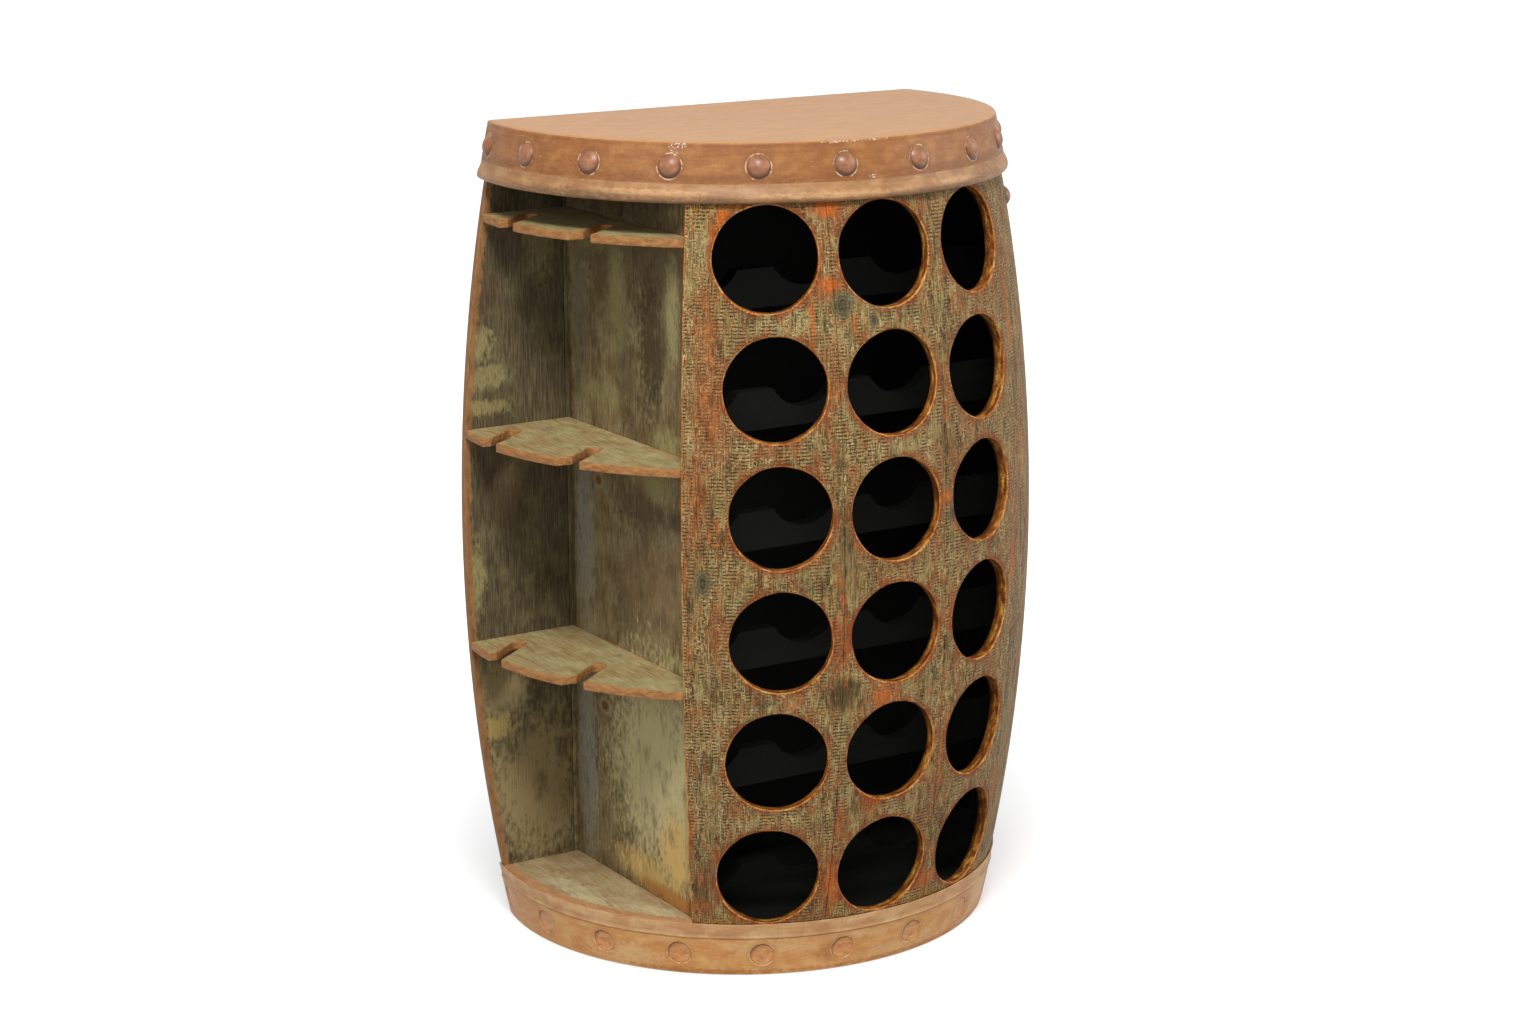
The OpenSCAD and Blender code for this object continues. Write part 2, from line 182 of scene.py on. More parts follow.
def mottle(tree, place, size, low, high, seed=0.0, detail=3.0, rough=0.6):
    """Blotches of a size (across, into, along) in mm, as a factor that rises from 0 at low to 1 at high."""
    spot = add(tree, "Mapping", {"Vector": place, "Location": (seed, 0.7 * seed, 1.3 * seed),
                                 "Scale": tuple(1 / s for s in size)})
    field = add(tree, "TexNoise", {"Vector": spot, "Scale": 1.0, "Detail": detail, "Roughness": rough})
    return add(tree, "MapRange", {"Value": field, "From Min": low, "From Max": high})


def dappled(tree, place, size, low, high, stops, seed=0.0, detail=3.0):
    """Paint whose tones are mixed in blotches; stops are (share, colour) from dark to light."""
    return add(tree, "ValToRGB", {0: mottle(tree, place, size, low, high, seed, detail)}, stops=stops)


def reach_of(tree, place, across, along, wide, tall):
    """Distance from a place, 1 on the ellipse of half width wide and half height tall."""
    offset = add(tree, "VectorMath", {0: place, 1: (across, 0.0, along)}, operation="SUBTRACT")
    flat = add(tree, "VectorMath", {0: offset, 1: (1 / wide, 0.0, 1 / tall)}, operation="MULTIPLY")
    return add(tree, "VectorMath", {0: flat}, "Value", operation="LENGTH")


def spots(tree, place, marks, fray):
    """Soft ellipses (across, along, half width, half height, strength), their edges frayed by a factor."""
    total = None
    for across, along, wide, tall, strength in marks:
        reach = reach_of(tree, place, across, along, wide, tall)
        worn = add(tree, "Math", {0: fray, 1: 0.9, 2: reach}, operation="MULTIPLY_ADD")
        soft = add(tree, "MapRange", {"Value": worn, "From Min": 1.65, "From Max": 1.0, "To Max": strength})
        total = soft if total is None else add(tree, "Math", {0: total, 1: soft}, operation="MAXIMUM")
    return total


def coats(tree, ground, *layers):
    """Lays coats over a ground colour. A layer is its colour and the masks that thin it, multiplied."""
    for colour, amount, *masks in layers:
        for mask in masks:
            amount = add(tree, "Math", {0: amount, 1: mask}, operation="MULTIPLY")
        ground = add(tree, "Mix", {0: amount, 6: ground, 7: colour}, 2, data_type="RGBA")
    return ground


def relief(tree, depth, strength, *fields):
    """Bump of a depth in mm from (field, share) pairs; a share below zero sinks its field."""
    level = 0.0
    for field, share in fields:
        level = add(tree, "Math", {0: field, 1: share, 2: level}, operation="MULTIPLY_ADD")
    return add(tree, "Bump", {"Height": level, "Distance": depth * 0.001, "Strength": strength})


# %% [markdown]
# ## Weathered paint on the staves
# The pierced front and the closed side are old pine that was painted olive over a rust-red undercoat,
# rubbed back and waxed. What the eye gets is brown wood with olive flecks on every raised saw mark, rust or
# a clear orange where only the undercoat is left, and a bright line at each hole whose rim was rubbed to
# bare wood. The saw marks stand 3.3 mm apart. The flecks between them are drawn coarser than real ones, 1.1
# by 8 mm upright and 4.2 by 1.3 mm level, so that they still show as a rough weave.

# %% Places on the staves: round from the front's middle, height, half width and height, strength
# Rust-red undercoat laid bare.
rust_marks = [(-192, 628, 15, 50, 0.7), (-186, 560, 19, 60, 0.8), (-200, 485, 12, 38, 0.7),
              (-180, 352, 9, 46, 0.6), (-212, 154, 7, 28, 1.0), (-68, 741, 20, 12, 1.2),
              (-82, 704, 8, 26, 0.5), (-69, 668, 15, 14, 1.2), (-66, 596, 7, 40, 0.6),
              (-74, 560, 6, 20, 0.7), (-62, 340, 12, 26, 1.0), (-16, 279, 18, 16, 1.1),
              (-25, 182, 13, 21, 1.1), (-66, 98, 18, 40, 1.0), (-58, 156, 9, 24, 0.9),
              (-14, 386, 15, 9, 1.1), (38, 462, 26, 9, 0.9), (-180, 724, 8, 16, 0.9), (58, 206, 8, 32, 0.8),
              (50, 76, 28, 13, 0.8), (-160, 746, 16, 7, 0.8), (-136, 520, 12, 6, 0.7),
              (62, 350, 9, 24, 0.7), (128, 752, 30, 9, 0.8), (182, 640, 9, 44, 0.6), (176, 420, 9, 66, 0.6),
              (-108, 62, 44, 6, 0.7), (12, 662, 26, 6, 0.7), (-206, 70, 16, 12, 0.7),
              (-168, 176, 10, 10, 0.6), (74, 700, 6, 30, 0.6), (60, 566, 6, 24, 0.7)]
# Ochre along the top and the foot.
ochre_marks = [(-194, 744, 26, 11, 1.0), (-120, 762, 70, 5, 0.9), (10, 762, 60, 5, 0.9),
               (-148, 60, 66, 7, 0.9), (30, 60, 66, 8, 0.9), (150, 62, 60, 10, 0.8), (204, 96, 14, 44, 0.7),
               (207, 560, 6, 90, 0.5)]
# Dark wax and bruises.
dark_marks = [(-60, 286, 20, 17, 0.95), (-55, 440, 15, 62, 0.6), (66, 622, 16, 26, 0.75),
              (-152, 640, 14, 9, 0.5), (60, 500, 12, 40, 0.6), (-190, 436, 18, 20, 0.5),
              (-202, 100, 11, 40, 0.6), (-28, 415, 26, 9, 0.6), (-112, 395, 34, 8, 0.6),
              (66, 120, 12, 46, 0.5), (190, 300, 10, 90, 0.5), (-66, 500, 7, 26, 0.7),
              (58, 420, 6, 30, 0.6), (-60, 130, 6, 22, 0.6), (198, 566, 5, 34, 0.8), (204, 300, 5, 44, 0.8),
              (182, 250, 5, 26, 0.8), (190, 690, 6, 30, 0.7), (176, 480, 4, 26, 0.7), (68, 520, 5, 18, 0.7),
              (64, 180, 4, 20, 0.7)]
# Olive that kept its pale tone.
pale_marks = [(-118, 637, 36, 11, 1.3), (-186, 240, 16, 60, 0.6), (-190, 160, 14, 40, 0.5),
              (-62, 620, 12, 16, 0.8), (-60, 702, 6, 20, 0.8), (-58, 218, 12, 52, 0.9),
              (-56, 560, 9, 40, 0.6), (-120, 279, 50, 9, 0.8), (-124, 163, 52, 8, 0.8),
              (6, 163, 40, 8, 0.7), (-196, 692, 15, 34, 0.5), (-190, 300, 14, 36, 0.5),
              (8, 518, 34, 6, 0.7)]
# Fresh orange flakes within the rust.
orange_marks = [(-174, 732, 7, 12, 1.2), (-157, 746, 14, 5, 1.1), (-184, 712, 5, 14, 0.9),
                (-68, 741, 16, 9, 1.1), (-70, 671, 11, 7, 1.1), (-88, 640, 3, 28, 0.8),
                (-44, 636, 3, 12, 0.6), (-20, 280, 10, 13, 0.9), (-62, 92, 8, 22, 0.9),
                (-24, 182, 7, 15, 0.8), (42, 462, 20, 5, 0.7), (52, 76, 22, 7, 0.7), (132, 752, 22, 5, 0.8),
                (66, 344, 5, 16, 0.7), (188, 596, 5, 22, 0.8), (174, 372, 5, 26, 0.8),
                (180, 146, 6, 20, 0.8), (66, 236, 5, 16, 0.8), (70, 590, 4, 16, 0.7),
                (204, 476, 4, 30, 0.6)]
# Greyish stains in the wood itself.
mauve_marks = [(196, 420, 14, 330, 0.25), (-56, 283, 20, 15, 0.7), (-176, 240, 7, 120, 0.5),
               (-186, 100, 18, 36, 0.6)]
# Wood rubbed free of saw marks.
smooth_marks = [(-60, 286, 24, 20, 1.0), (-58, 400, 15, 60, 0.9), (-110, 281, 44, 7, 0.6),
                (-190, 96, 26, 38, 0.7)]
# Knots: round, height, half width and height.
front_knots = [(-194, 399, 4.6, 7.5), (-57, 652, 6.5, 7.5), (62, 446, 3.6, 5.0), (-24, 636, 3.0, 4.0)]

# %% [markdown]
# A knot is where a branch grew out of the board: a core in a darker collar, with rings round it. Paint
# sinks into its hard end grain, so it shows through every coat.

# %% Knots
def knotted(tree, place, colour, knots, fray, core_tone, collar_tone, ring_tone):
    """Lays knots (across, along, half width, half height) over a colour. Returns colour and ripple."""
    ripple = 0.0
    for x, z, wide, tall in knots:
        reach = add(tree, "Math", {0: fray, 1: 0.4, 2: reach_of(tree, place, x, z, wide, tall)},
                    operation="MULTIPLY_ADD")
        core = add(tree, "MapRange", {"Value": reach, "From Min": 1.25, "From Max": 0.95})
        collar = add(tree, "MapRange", {"Value": reach, "From Min": 2.4, "From Max": 1.5})
        turns = add(tree, "Math", {0: reach, 1: 11.0}, operation="MULTIPLY")
        rings = add(tree, "Math", {0: add(tree, "Math", {0: turns}, operation="SINE"), 1: collar},
                    operation="MULTIPLY")
        colour = coats(tree, colour, (collar_tone, collar, 0.8), (core_tone, core),
                       (ring_tone, add(tree, "MapRange", {"Value": rings, "From Min": 0.2}), 0.65))
        ripple = add(tree, "Math", {0: ripple, 1: rings}, operation="ADD")
    return colour, ripple


# %% [markdown]
# The staves' finish is built in the order in which it came about. First comes the wood: long fibres, dark
# in their grooves, with reddish bands where the undercoat stained it. Then the coats of paint, dragged
# upright: olive, a pale one, a dark one, and rust where the undercoat shows.

# %% Wood and coats of paint
def painted_pine(tree, place, fray, drag, flaking, rusty, rust):
    """Pine under its coats of paint. Returns the colour, the fibres and the grooves."""
    fibres = mottle(tree, place, (1.3, 3, 40), 0.3, 0.7, seed=1.7, detail=4.0)
    grooves = mottle(tree, place, (0.9, 2, 26), 0.55, 0.62, seed=2.9, detail=2.0)
    colour = add(tree, "ValToRGB", {0: fibres}, stops=[(0.0, "#4b341e"), (0.5, "#8b643b"), (1.0, "#bd935f")])
    colour = coats(tree, colour, ("#94603c", mottle(tree, place, (9, 8, 70), 0.46, 0.56, seed=12.5), 0.85),
                   ("#80593d", spots(tree, place, mauve_marks, fray), 0.8))

    fringe = mottle(tree, place, (1.6, 2, 12), 0.3, 0.48, seed=31.0)
    broad = mottle(tree, place, (70, 70, 150), 0.42, 0.62, seed=41.0, detail=2.0)
    kept_olive = add(tree, "MapRange", {"Value": broad, "To Min": 1.0, "To Max": 0.65})
    olive = dappled(tree, place, (2.0, 3, 22), 0.3, 0.7,
                    [(0.0, "#6c5e37"), (0.55, "#9d8f5a"), (1.0, "#c3b77e")], seed=9.6)
    colour = coats(tree, colour, ("#98693c", broad, drag, 0.35),
                   (olive, mottle(tree, place, (12, 12, 50), 0.45, 0.54, seed=4.4), drag, kept_olive, 0.9),
                   ("#a8965f", mottle(tree, place, (11, 11, 26), 0.55, 0.6, seed=35.0), fringe, 0.85),
                   ("#a89c6a", spots(tree, place, pale_marks, fray), fringe),
                   ("#493822", mottle(tree, place, (11, 11, 36), 0.54, 0.59, seed=14.2), fringe, 0.85),
                   ("#43341f", spots(tree, place, dark_marks, fray), 0.85),
                   (rusty, mottle(tree, place, (11, 11, 28), 0.56, 0.6, seed=17.5), flaking, 0.8),
                   ("#b37d30", spots(tree, place, ochre_marks, fray), drag, 0.95),
                   (rusty, rust, flaking), ("#32230f", grooves, 0.75))
    return colour, fibres, grooves


# %% [markdown]
# The saw left ladders of level lines. They are dark, because dirt stays in them, and the paint between them
# breaks into flecks. Both fade where the wood was rubbed smooth.

# %% Saw marks and flecks
saw_pitch = 3.3
wave_period = 2 * math.pi / 20


def saw_marks(tree, place, colour, fray, drag, flaking, rusty, rust):
    """Ladders of dark lines and flecks of paint over a colour. Returns the colour, ladders and flecks."""
    lines = add(tree, "TexWave", {"Vector": place, "Scale": wave_period / saw_pitch, "Distortion": 2.5,
                                  "Detail": 2.0, "Detail Scale": 1.4}, 1, bands_direction="Z")
    lines = add(tree, "MapRange", {"Value": lines, "From Min": 0.5, "From Max": 0.85})
    rubbed = add(tree, "Math", {0: 1.0, 1: spots(tree, place, smooth_marks, fray)}, operation="SUBTRACT")
    columns = mottle(tree, place, (7, 6, 34), 0.5, 0.55, seed=2.2)
    columns = add(tree, "Math", {0: columns, 1: rubbed}, operation="MULTIPLY")
    ladders = add(tree, "Math", {0: lines, 1: columns}, operation="MULTIPLY")
    scratches = mottle(tree, place, (7, 2, 1.0), 0.56, 0.63, seed=27.0, detail=2.0)
    upright = mottle(tree, place, (1.1, 2, 8), 0.54, 0.61, seed=5.3, detail=2.0)
    level = mottle(tree, place, (4.2, 2, 1.3), 0.55, 0.61, seed=8.9, detail=2.0)
    flecks = add(tree, "Math", {0: upright, 1: level}, operation="MAXIMUM")
    flecks = add(tree, "Math", {0: flecks, 1: rubbed}, operation="MULTIPLY")
    woven = mottle(tree, place, (14, 14, 36), 0.4, 0.58, seed=6.4)
    woven = add(tree, "MapRange", {"Value": woven, "To Min": 0.25, "To Max": 0.95})
    thin = dappled(tree, place, (9, 9, 26), 0.35, 0.65, [(0.0, "#b88b54"), (1.0, "#c6b47c")], seed=28.0)
    colour = coats(tree, colour, (thin, columns, drag, 0.4), ("#332410", ladders, 0.9),
                   ("#382810", scratches, rubbed, 0.8), (thin, flecks, woven), (rusty, rust, flaking, 0.5),
                   ("#cb6c2c", spots(tree, place, orange_marks, fray), flaking, 0.85))
    return colour, ladders, flecks


# %% [markdown]
# Hands and bottles have worn the holes. Going inwards, the eye meets a rusty halo in places, a thin bright
# line on the very edge, and then the wall of the hole, which was varnished and has a soft shine; deeper in,
# the wall is darker, as painted shade. The raw upright edge beside the glass rack got the same bright line,
# and the inner face is painted black as shade.

# %% Rims of the holes
def worn_rims(tree, place, colour):
    """Halo, bright line, varnished wall and painted shade over a colour. Returns the colour and the wall."""
    rim = add(tree, "Attribute", out="Fac", attribute_name="rim")
    across = add(tree, "SeparateXYZ", {0: place}, "X")
    into = across.node.outputs["Y"]
    ragged = add(tree, "Math", {0: mottle(tree, place, (3, 3, 3), 0.25, 0.75, seed=20.0), 1: -2.2, 2: rim},
                 operation="MULTIPLY_ADD")
    halo = add(tree, "MapRange", {"Value": ragged, "From Min": 7.0, "From Max": 0.0})
    worn = add(tree, "MapRange", {"Value": ragged, "From Min": 0.5, "From Max": -0.3})
    near = add(tree, "Math", {0: rim, 1: 3.0}, operation="LESS_THAN")
    wall = add(tree, "MapRange", {"Value": into, "From Min": 0.9, "From Max": 1.9})
    wall = add(tree, "Math", {0: wall, 1: near}, operation="MULTIPLY")
    dark_band_in_wall = add(tree, "Math", {0: into, 1: 3.0, 2: 1.5}, operation="COMPARE")
    deep_shade = add(tree, "MapRange", {"Value": into, "From Min": 6.0, "From Max": 11.4})
    black_lining_shade = add(tree, "Math", {0: into, 1: stave_t - 0.6}, operation="GREATER_THAN")
    bright = dappled(tree, place, (12, 6, 12), 0.36, 0.64,
                     [(0.0, "#a4522a"), (0.45, "#cf7e3c"), (1.0, "#e4ad62")], seed=21.0)
    varnish = dappled(tree, place, (14, 5, 14), 0.34, 0.66,
                      [(0.0, "#633619"), (0.45, "#955720"), (0.75, "#bb7b30"), (1.0, "#d9a04b")], seed=23.0)
    patchy = mottle(tree, place, (16, 16, 16), 0.42, 0.56, seed=24.0)
    edge = add(tree, "Math", {0: mottle(tree, place, (3, 3, 16), 0.3, 0.7, seed=30.0), 1: 1.4, 2: across},
               operation="MULTIPLY_ADD")
    edge = add(tree, "MapRange", {"Value": edge, "From Min": -211.2, "From Max": -212.4})
    colour = coats(tree, colour, ("#8c4222", halo, patchy, 0.9), (bright, worn), (bright, edge, 0.9),
                   (varnish, wall), ("#54290f", dark_band_in_wall, wall, patchy, 0.7), ("#2a1a0d", deep_shade, near, 0.85),
                   ("#0d0d0a", black_lining_shade))
    return colour, wall


# %% [markdown]
# The layers now come together as they lie on the wood: paint over pine, saw marks over paint, and knots and
# worn rims over both. The same patterns that colour the flecks and grooves also raise and sink them, so
# that they catch the light. All of it is dull, except the varnished walls of the holes.

# %% The staves' finish
def stave_finish():
    """Wood, coats, saw marks, knots and rims, one over the other; dull, but for the varnished walls."""
    material, tree = new_material("Weathered_paint_on_pine")
    place = add(tree, "Attribute", out="Vector", attribute_name="grain")
    fray = mottle(tree, place, (4, 4, 10), 0.3, 0.7, seed=3.1)
    drag = mottle(tree, place, (1.2, 2, 18), 0.36, 0.54, seed=10.3)
    flaking = mottle(tree, place, (2.4, 3, 9), 0.24, 0.46, seed=7.7)
    rusty = dappled(tree, place, (6, 6, 12), 0.36, 0.64,
                    [(0.0, "#84482a"), (0.6, "#a45c32"), (1.0, "#be7038")], seed=33.0)
    rust = spots(tree, place, rust_marks, fray)
    colour, fibres, grooves = painted_pine(tree, place, fray, drag, flaking, rusty, rust)
    colour, ladders, flecks = saw_marks(tree, place, colour, fray, drag, flaking, rusty, rust)
    colour, ripple = knotted(tree, place, colour, front_knots, fray, "#625640", "#766e4f", "#2a2015")
    colour, wall = worn_rims(tree, place, colour)
    bump = relief(tree, 0.6, 1.0, (flecks, 1.0), (fibres, 0.5), (grooves, -0.7), (ladders, -0.7),
                  (ripple, 0.3))
    gloss = add(tree, "MapRange", {"Value": wall, "To Min": 0.56, "To Max": 0.36})
    return finish_material(material, tree, Base_Color=colour, Roughness=gloss, Specular_IOR_Level=0.12,
                           Normal=bump)


stave_paint = stave_finish()

# %% [markdown]
# ## Stained and painted boards
# The boards of the glass bay, the shelves, the floor and the back carry the same two things: long brown
# fibres, and a thin coat of paint that covers some blotches and misses others. One recipe takes the
# colours, the sizes and the placed spots of each. In calm places the paint is thick and hides the grain. A
# board tone gives each rear board but the first its own share of a paler stain, as boards from different
# trees have.

# %% One recipe for aged boards
board_stride = 300.0


def board_chance(tree, place):
    """A share between 0 and 1 for each board, 0 for the first; boards lie one stride apart in the grain."""
    into = add(tree, "SeparateXYZ", {0: place}, "Y")
    number = add(tree, "Math", {0: add(tree, "Math", {0: into, 1: 1 / board_stride}, operation="MULTIPLY")},
                 operation="FLOOR")
    chance = add(tree, "TexWhiteNoise", {"W": number}, noise_dimensions="1D")
    later = add(tree, "Math", {0: number, 1: 1.0}, operation="MINIMUM")
    return add(tree, "Math", {0: chance, 1: later}, operation="MULTIPLY")


def rubbed_rim(tree, place, colour, tones, width, seed):
    """Bare wood in two tones along a rim, its inner border ragged, over a colour."""
    rim = add(tree, "Attribute", out="Fac", attribute_name="rim")
    ragged = add(tree, "Math", {0: mottle(tree, place, (6, 6, 6), 0.3, 0.7, seed=seed + 20),
                                1: -0.6 * width, 2: rim}, operation="MULTIPLY_ADD")
    worn = add(tree, "MapRange", {"Value": ragged, "From Min": 0.7 * width, "From Max": 0.45 * width})
    warm = dappled(tree, place, (5, 3, 14), 0.3, 0.7, [(0.0, tones[0]), (1.0, tones[1])], seed=seed + 22)
    return coats(tree, colour, (warm, worn, 0.85))


def aged_board(name, wood, paint, cover, places=(), knots=(), calm_places=(), board_tone=None,
               stain="#3b2e1f", rubbed=None, blackened=None, kept_shape=False, seed=0.0):
    """Brown fibres under blotches of paint.

    wood and paint are colours from dark to light, cover the range of noise in which the coat holds, places a
    list of (marks, colour), knots and calm_places lists of marks, board_tone the paler stain of some boards,
    stain the colour of dark clouds, rubbed the (tones, width) of a worn rim, blackened the (axis, value)
    past which the board is painted black as shade, and kept_shape says that the piece has no grain
    attribute.
    """
    material, tree = new_material(name)
    place = (in_millimetres(tree) if kept_shape
             else add(tree, "Attribute", out="Vector", attribute_name="grain"))
    fray = mottle(tree, place, (5, 5, 9), 0.3, 0.7, seed=seed + 3.1)
    fibres = mottle(tree, place, (1.5, 3, 26), 0.3, 0.7, seed=seed + 1.7, detail=5.0)
    grooves = mottle(tree, place, (0.9, 2, 18), 0.57, 0.66, seed=seed + 2.9, detail=2.0)
    specks = mottle(tree, place, (1.6, 2, 3.2), 0.6, 0.7, seed=seed + 6.6)
    colour = add(tree, "ValToRGB", {0: fibres}, stops=[(0.0, wood[0]), (0.5, wood[1]), (1.0, wood[2])])
    tint = dappled(tree, place, (7, 6, 16), 0.3, 0.7, [(0.0, paint[0]), (1.0, paint[1])], seed=seed + 9.6,
                   detail=5.0)
    drag = mottle(tree, place, (1.3, 2, 14), 0.3, 0.5, seed=seed + 11.0)
    held = mottle(tree, place, (24, 24, 34), *cover, seed=seed + 4.4, detail=5.0)
    colour = coats(tree, colour, (tint, held, drag, 0.8))
    if board_tone:
        colour = coats(tree, colour, (board_tone, board_chance(tree, place), 0.6))
    for marks, shade in places:
        broken = mottle(tree, place, (4, 4, 34), 0.1, 0.4, seed=seed + 16, detail=2.0)
        colour = coats(tree, colour, (shade, spots(tree, place, marks, fray), broken))
    calm = 1.0
    if calm_places:
        calm = add(tree, "Math", {0: 1.0, 1: spots(tree, place, calm_places, fray)}, operation="SUBTRACT")
    clouds = mottle(tree, place, (18, 18, 34), 0.55, 0.7, seed=seed + 14.2)
    colour = coats(tree, colour, (stain, clouds, 0.5), (wood[0], specks, calm, 0.5),
                   (stain, grooves, calm, 0.6))
    colour, ripple = knotted(tree, place, colour, knots, fray, "#77502f", paint[1], wood[0])
    if rubbed:
        colour = rubbed_rim(tree, place, colour, *rubbed, seed)
    if blackened:
        axis, value = blackened
        past = add(tree, "Math", {0: add(tree, "SeparateXYZ", {0: place}, axis), 1: value},
                   operation="GREATER_THAN")
        colour = coats(tree, colour, ("#0d0d0a", past))
    bump = relief(tree, 0.4, 0.8, (fibres, 0.6), (grooves, -0.5), (ripple, 0.3))
    return finish_material(material, tree, Base_Color=colour, Roughness=0.6, Specular_IOR_Level=0.15,
                           Normal=bump)


# %% Divider and rear boards
# Places on the divider: from front to rear, height, half width and height, strength.
divider_marks = [
    # Painted shade: the first, dark tone darkens the upper part under the cover.
    ([(-110, 690, 120, 60, 0.7), (-150, 600, 60, 40, 0.5), (-20, 680, 50, 70, 0.6)], "#54462d"),
    ([(24, 610, 19, 90, 0.6)], "#6a6454"),
    ([(24, 400, 19, 100, 0.85), (24, 170, 19, 110, 0.9)], "#8d8778"),
    ([(-112, 604, 24, 78, 0.9), (-66, 560, 20, 60, 0.6), (-186, 600, 16, 70, 0.6), (-90, 440, 60, 22, 0.7),
      (-60, 330, 24, 34, 0.6), (-170, 440, 40, 16, 0.6), (48, 400, 5, 350, 0.7), (-64, 250, 10, 36, 0.6)],
     "#42351f"),
    ([(-152, 640, 12, 60, 0.8), (-48, 640, 16, 60, 0.6), (-140, 513, 28, 13, 1.0), (-120, 470, 26, 20, 0.8),
      (-150, 300, 30, 12, 0.9), (0, 690, 40, 14, 0.5), (-20, 540, 40, 12, 0.5)], "#98905f"),
    ([(-110, 366, 70, 40, 0.6), (-190, 340, 20, 60, 0.5), (-160, 700, 40, 8, 0.6)], "#7a6142"),
    # Painted light: the next two pale tones brighten the foot, most of all near the front.
    ([(-110, 190, 90, 110, 1.0), (-170, 180, 44, 110, 1.0)], "#bdb080"),
    ([(-150, 106, 34, 44, 0.95), (-90, 78, 60, 18, 0.8)], "#cbaa68"),
    ([(-150, 62, 80, 9, 0.9)], "#b57a3c")]
# Places on the rear boards: across, height, half width and height, strength.
# Painted light: the first, pale tone brightens the back low in the glass bay.
rear_marks = [([(-210, 130, 60, 80, 1.0), (-250, 240, 40, 30, 0.8)], "#95845c"),
              ([(-262, 640, 20, 40, 0.5), (-240, 440, 30, 50, 0.5)], "#57442f"),
              ([(-266, 588, 17, 18, 1.3), (-258, 554, 24, 12, 1.2), (-262, 524, 30, 9, 1.0),
                (-272, 353, 10, 36, 1.0), (-276, 690, 5, 40, 0.8), (-196, 690, 16, 50, 0.5)], "#91855a"),
              ([(-252, 202, 16, 12, 1.2)], "#a18b56")]

# Olive paint on planed board: darker above, as painted shade under the cover; thick below, where it hides
# the grain, and paler there as painted light.
divider_paint = aged_board("Olive_paint_on_board", ("#4d3e28", "#72603f", "#937f57"), ("#807151", "#9f926b"),
                           (0.4, 0.56), places=divider_marks, knots=[(-12, 224, 7, 5), (-6, 452, 6, 5)],
                           calm_places=[(-120, 170, 130, 150, 0.75)],
                           blackened=("Y", divider_x + divider_t / 2), seed=50.0)
# Brown stain brushed on sawn boards: dull and streaky, with raw, lighter edges, and paler low in the glass
# bay as painted light.
rear_stain = aged_board("Brown_stain_on_rear_boards", ("#3d3526", "#5b513b", "#766b50"),
                        ("#665e41", "#847a55"), (0.5, 0.64), places=rear_marks,
                        calm_places=[(-230, 160, 70, 130, 0.7)], board_tone="#8b7a58",
                        rubbed=(("#7a5331", "#a5764a"), 8.0), seed=80.0)
# The same stain inside, never rubbed: plain, and painted darker as shade.
inner_stain = aged_board("Brown_stain_inside", ("#2f2618", "#463a27", "#5a4c34"), ("#4a4229", "#625a3a"),
                         (0.5, 0.7), kept_shape=True, seed=90.0)

# %% Shelves and floor
# Thin paint on shelves: glasses rubbed the broad faces pale and the sawn edges back to warm wood.
shelf_paint = aged_board("Rubbed_paint_on_shelf", ("#765f3f", "#9a8256", "#b59c6d"), ("#979064", "#b7ae7f"),
                         (0.4, 0.58), rubbed=(("#7e4c29", "#b67d47"), 2.2), stain="#75603d", seed=60.0)
# The floor is the palest board, with a wide worn rim; inside the bottle chamber it is painted black as shade.
floor_paint = aged_board("Olive_paint_on_floor", ("#7f6647", "#9a815c", "#b19871"), ("#9d8f6b", "#b6a884"),
                         (0.38, 0.58), rubbed=(("#9c6842", "#b8875a"), 12.0), stain="#8a7048",
                         places=[([(-222, -60, 14, 60, 0.6), (-190, -150, 16, 40, 0.6)], "#c0b58c")],
                         blackened=("X", divider_x + divider_t / 2), seed=70.0)

# %% [markdown]
# ## Brushed copper paint on the hoops
# The cover, its skirt, the beads and the base band are covered in a copper-coloured paint, brushed on round
# the barrel and then dulled with wax. The eye gets fine level streaks, clouds of a redder tone, and a thin
# pale line round each rivet where wax was left, inside a painted shadow. Rivets stand at equal angles, so the
# distance from the nearest one needs a single Wrap instead of twelve spots.

# %% The hoops' finish
def painted_shadow_and_wax_rings(tree, place, colour, shadow, z, radius, seed):
    """A painted shadow and a broken pale ring of wax round every rivet at height z, over a colour."""
    across = add(tree, "SeparateXYZ", {0: place}, "X")
    round_by = add(tree, "Math", {0: across, 1: belly_r * rivet_end}, operation="ADD")
    half = belly_r * rivet_step / 2
    round_by = add(tree, "Math", {0: round_by, 1: half, 2: -half}, operation="WRAP")
    centre = add(tree, "CombineXYZ", {0: round_by, 1: 0.0, 2: across.node.outputs["Z"]})
    squeeze = belly_r / stave_r(z)
    reach = reach_of(tree, centre, 0.0, z, radius * squeeze, radius)
    inner = add(tree, "MapRange", {"Value": reach, "From Min": 1.01, "From Max": 1.05})
    outer = add(tree, "MapRange", {"Value": reach, "From Min": 1.17, "From Max": 1.09})
    shade = add(tree, "MapRange", {"Value": reach, "From Min": 1.5, "From Max": 1.0})
    broken = mottle(tree, place, (7, 6, 6), 0.45, 0.58, seed=seed + 15.0)
    return coats(tree, colour, (shadow, shade, 0.7), ("#dcbd9d", inner, outer, broken, 0.75))


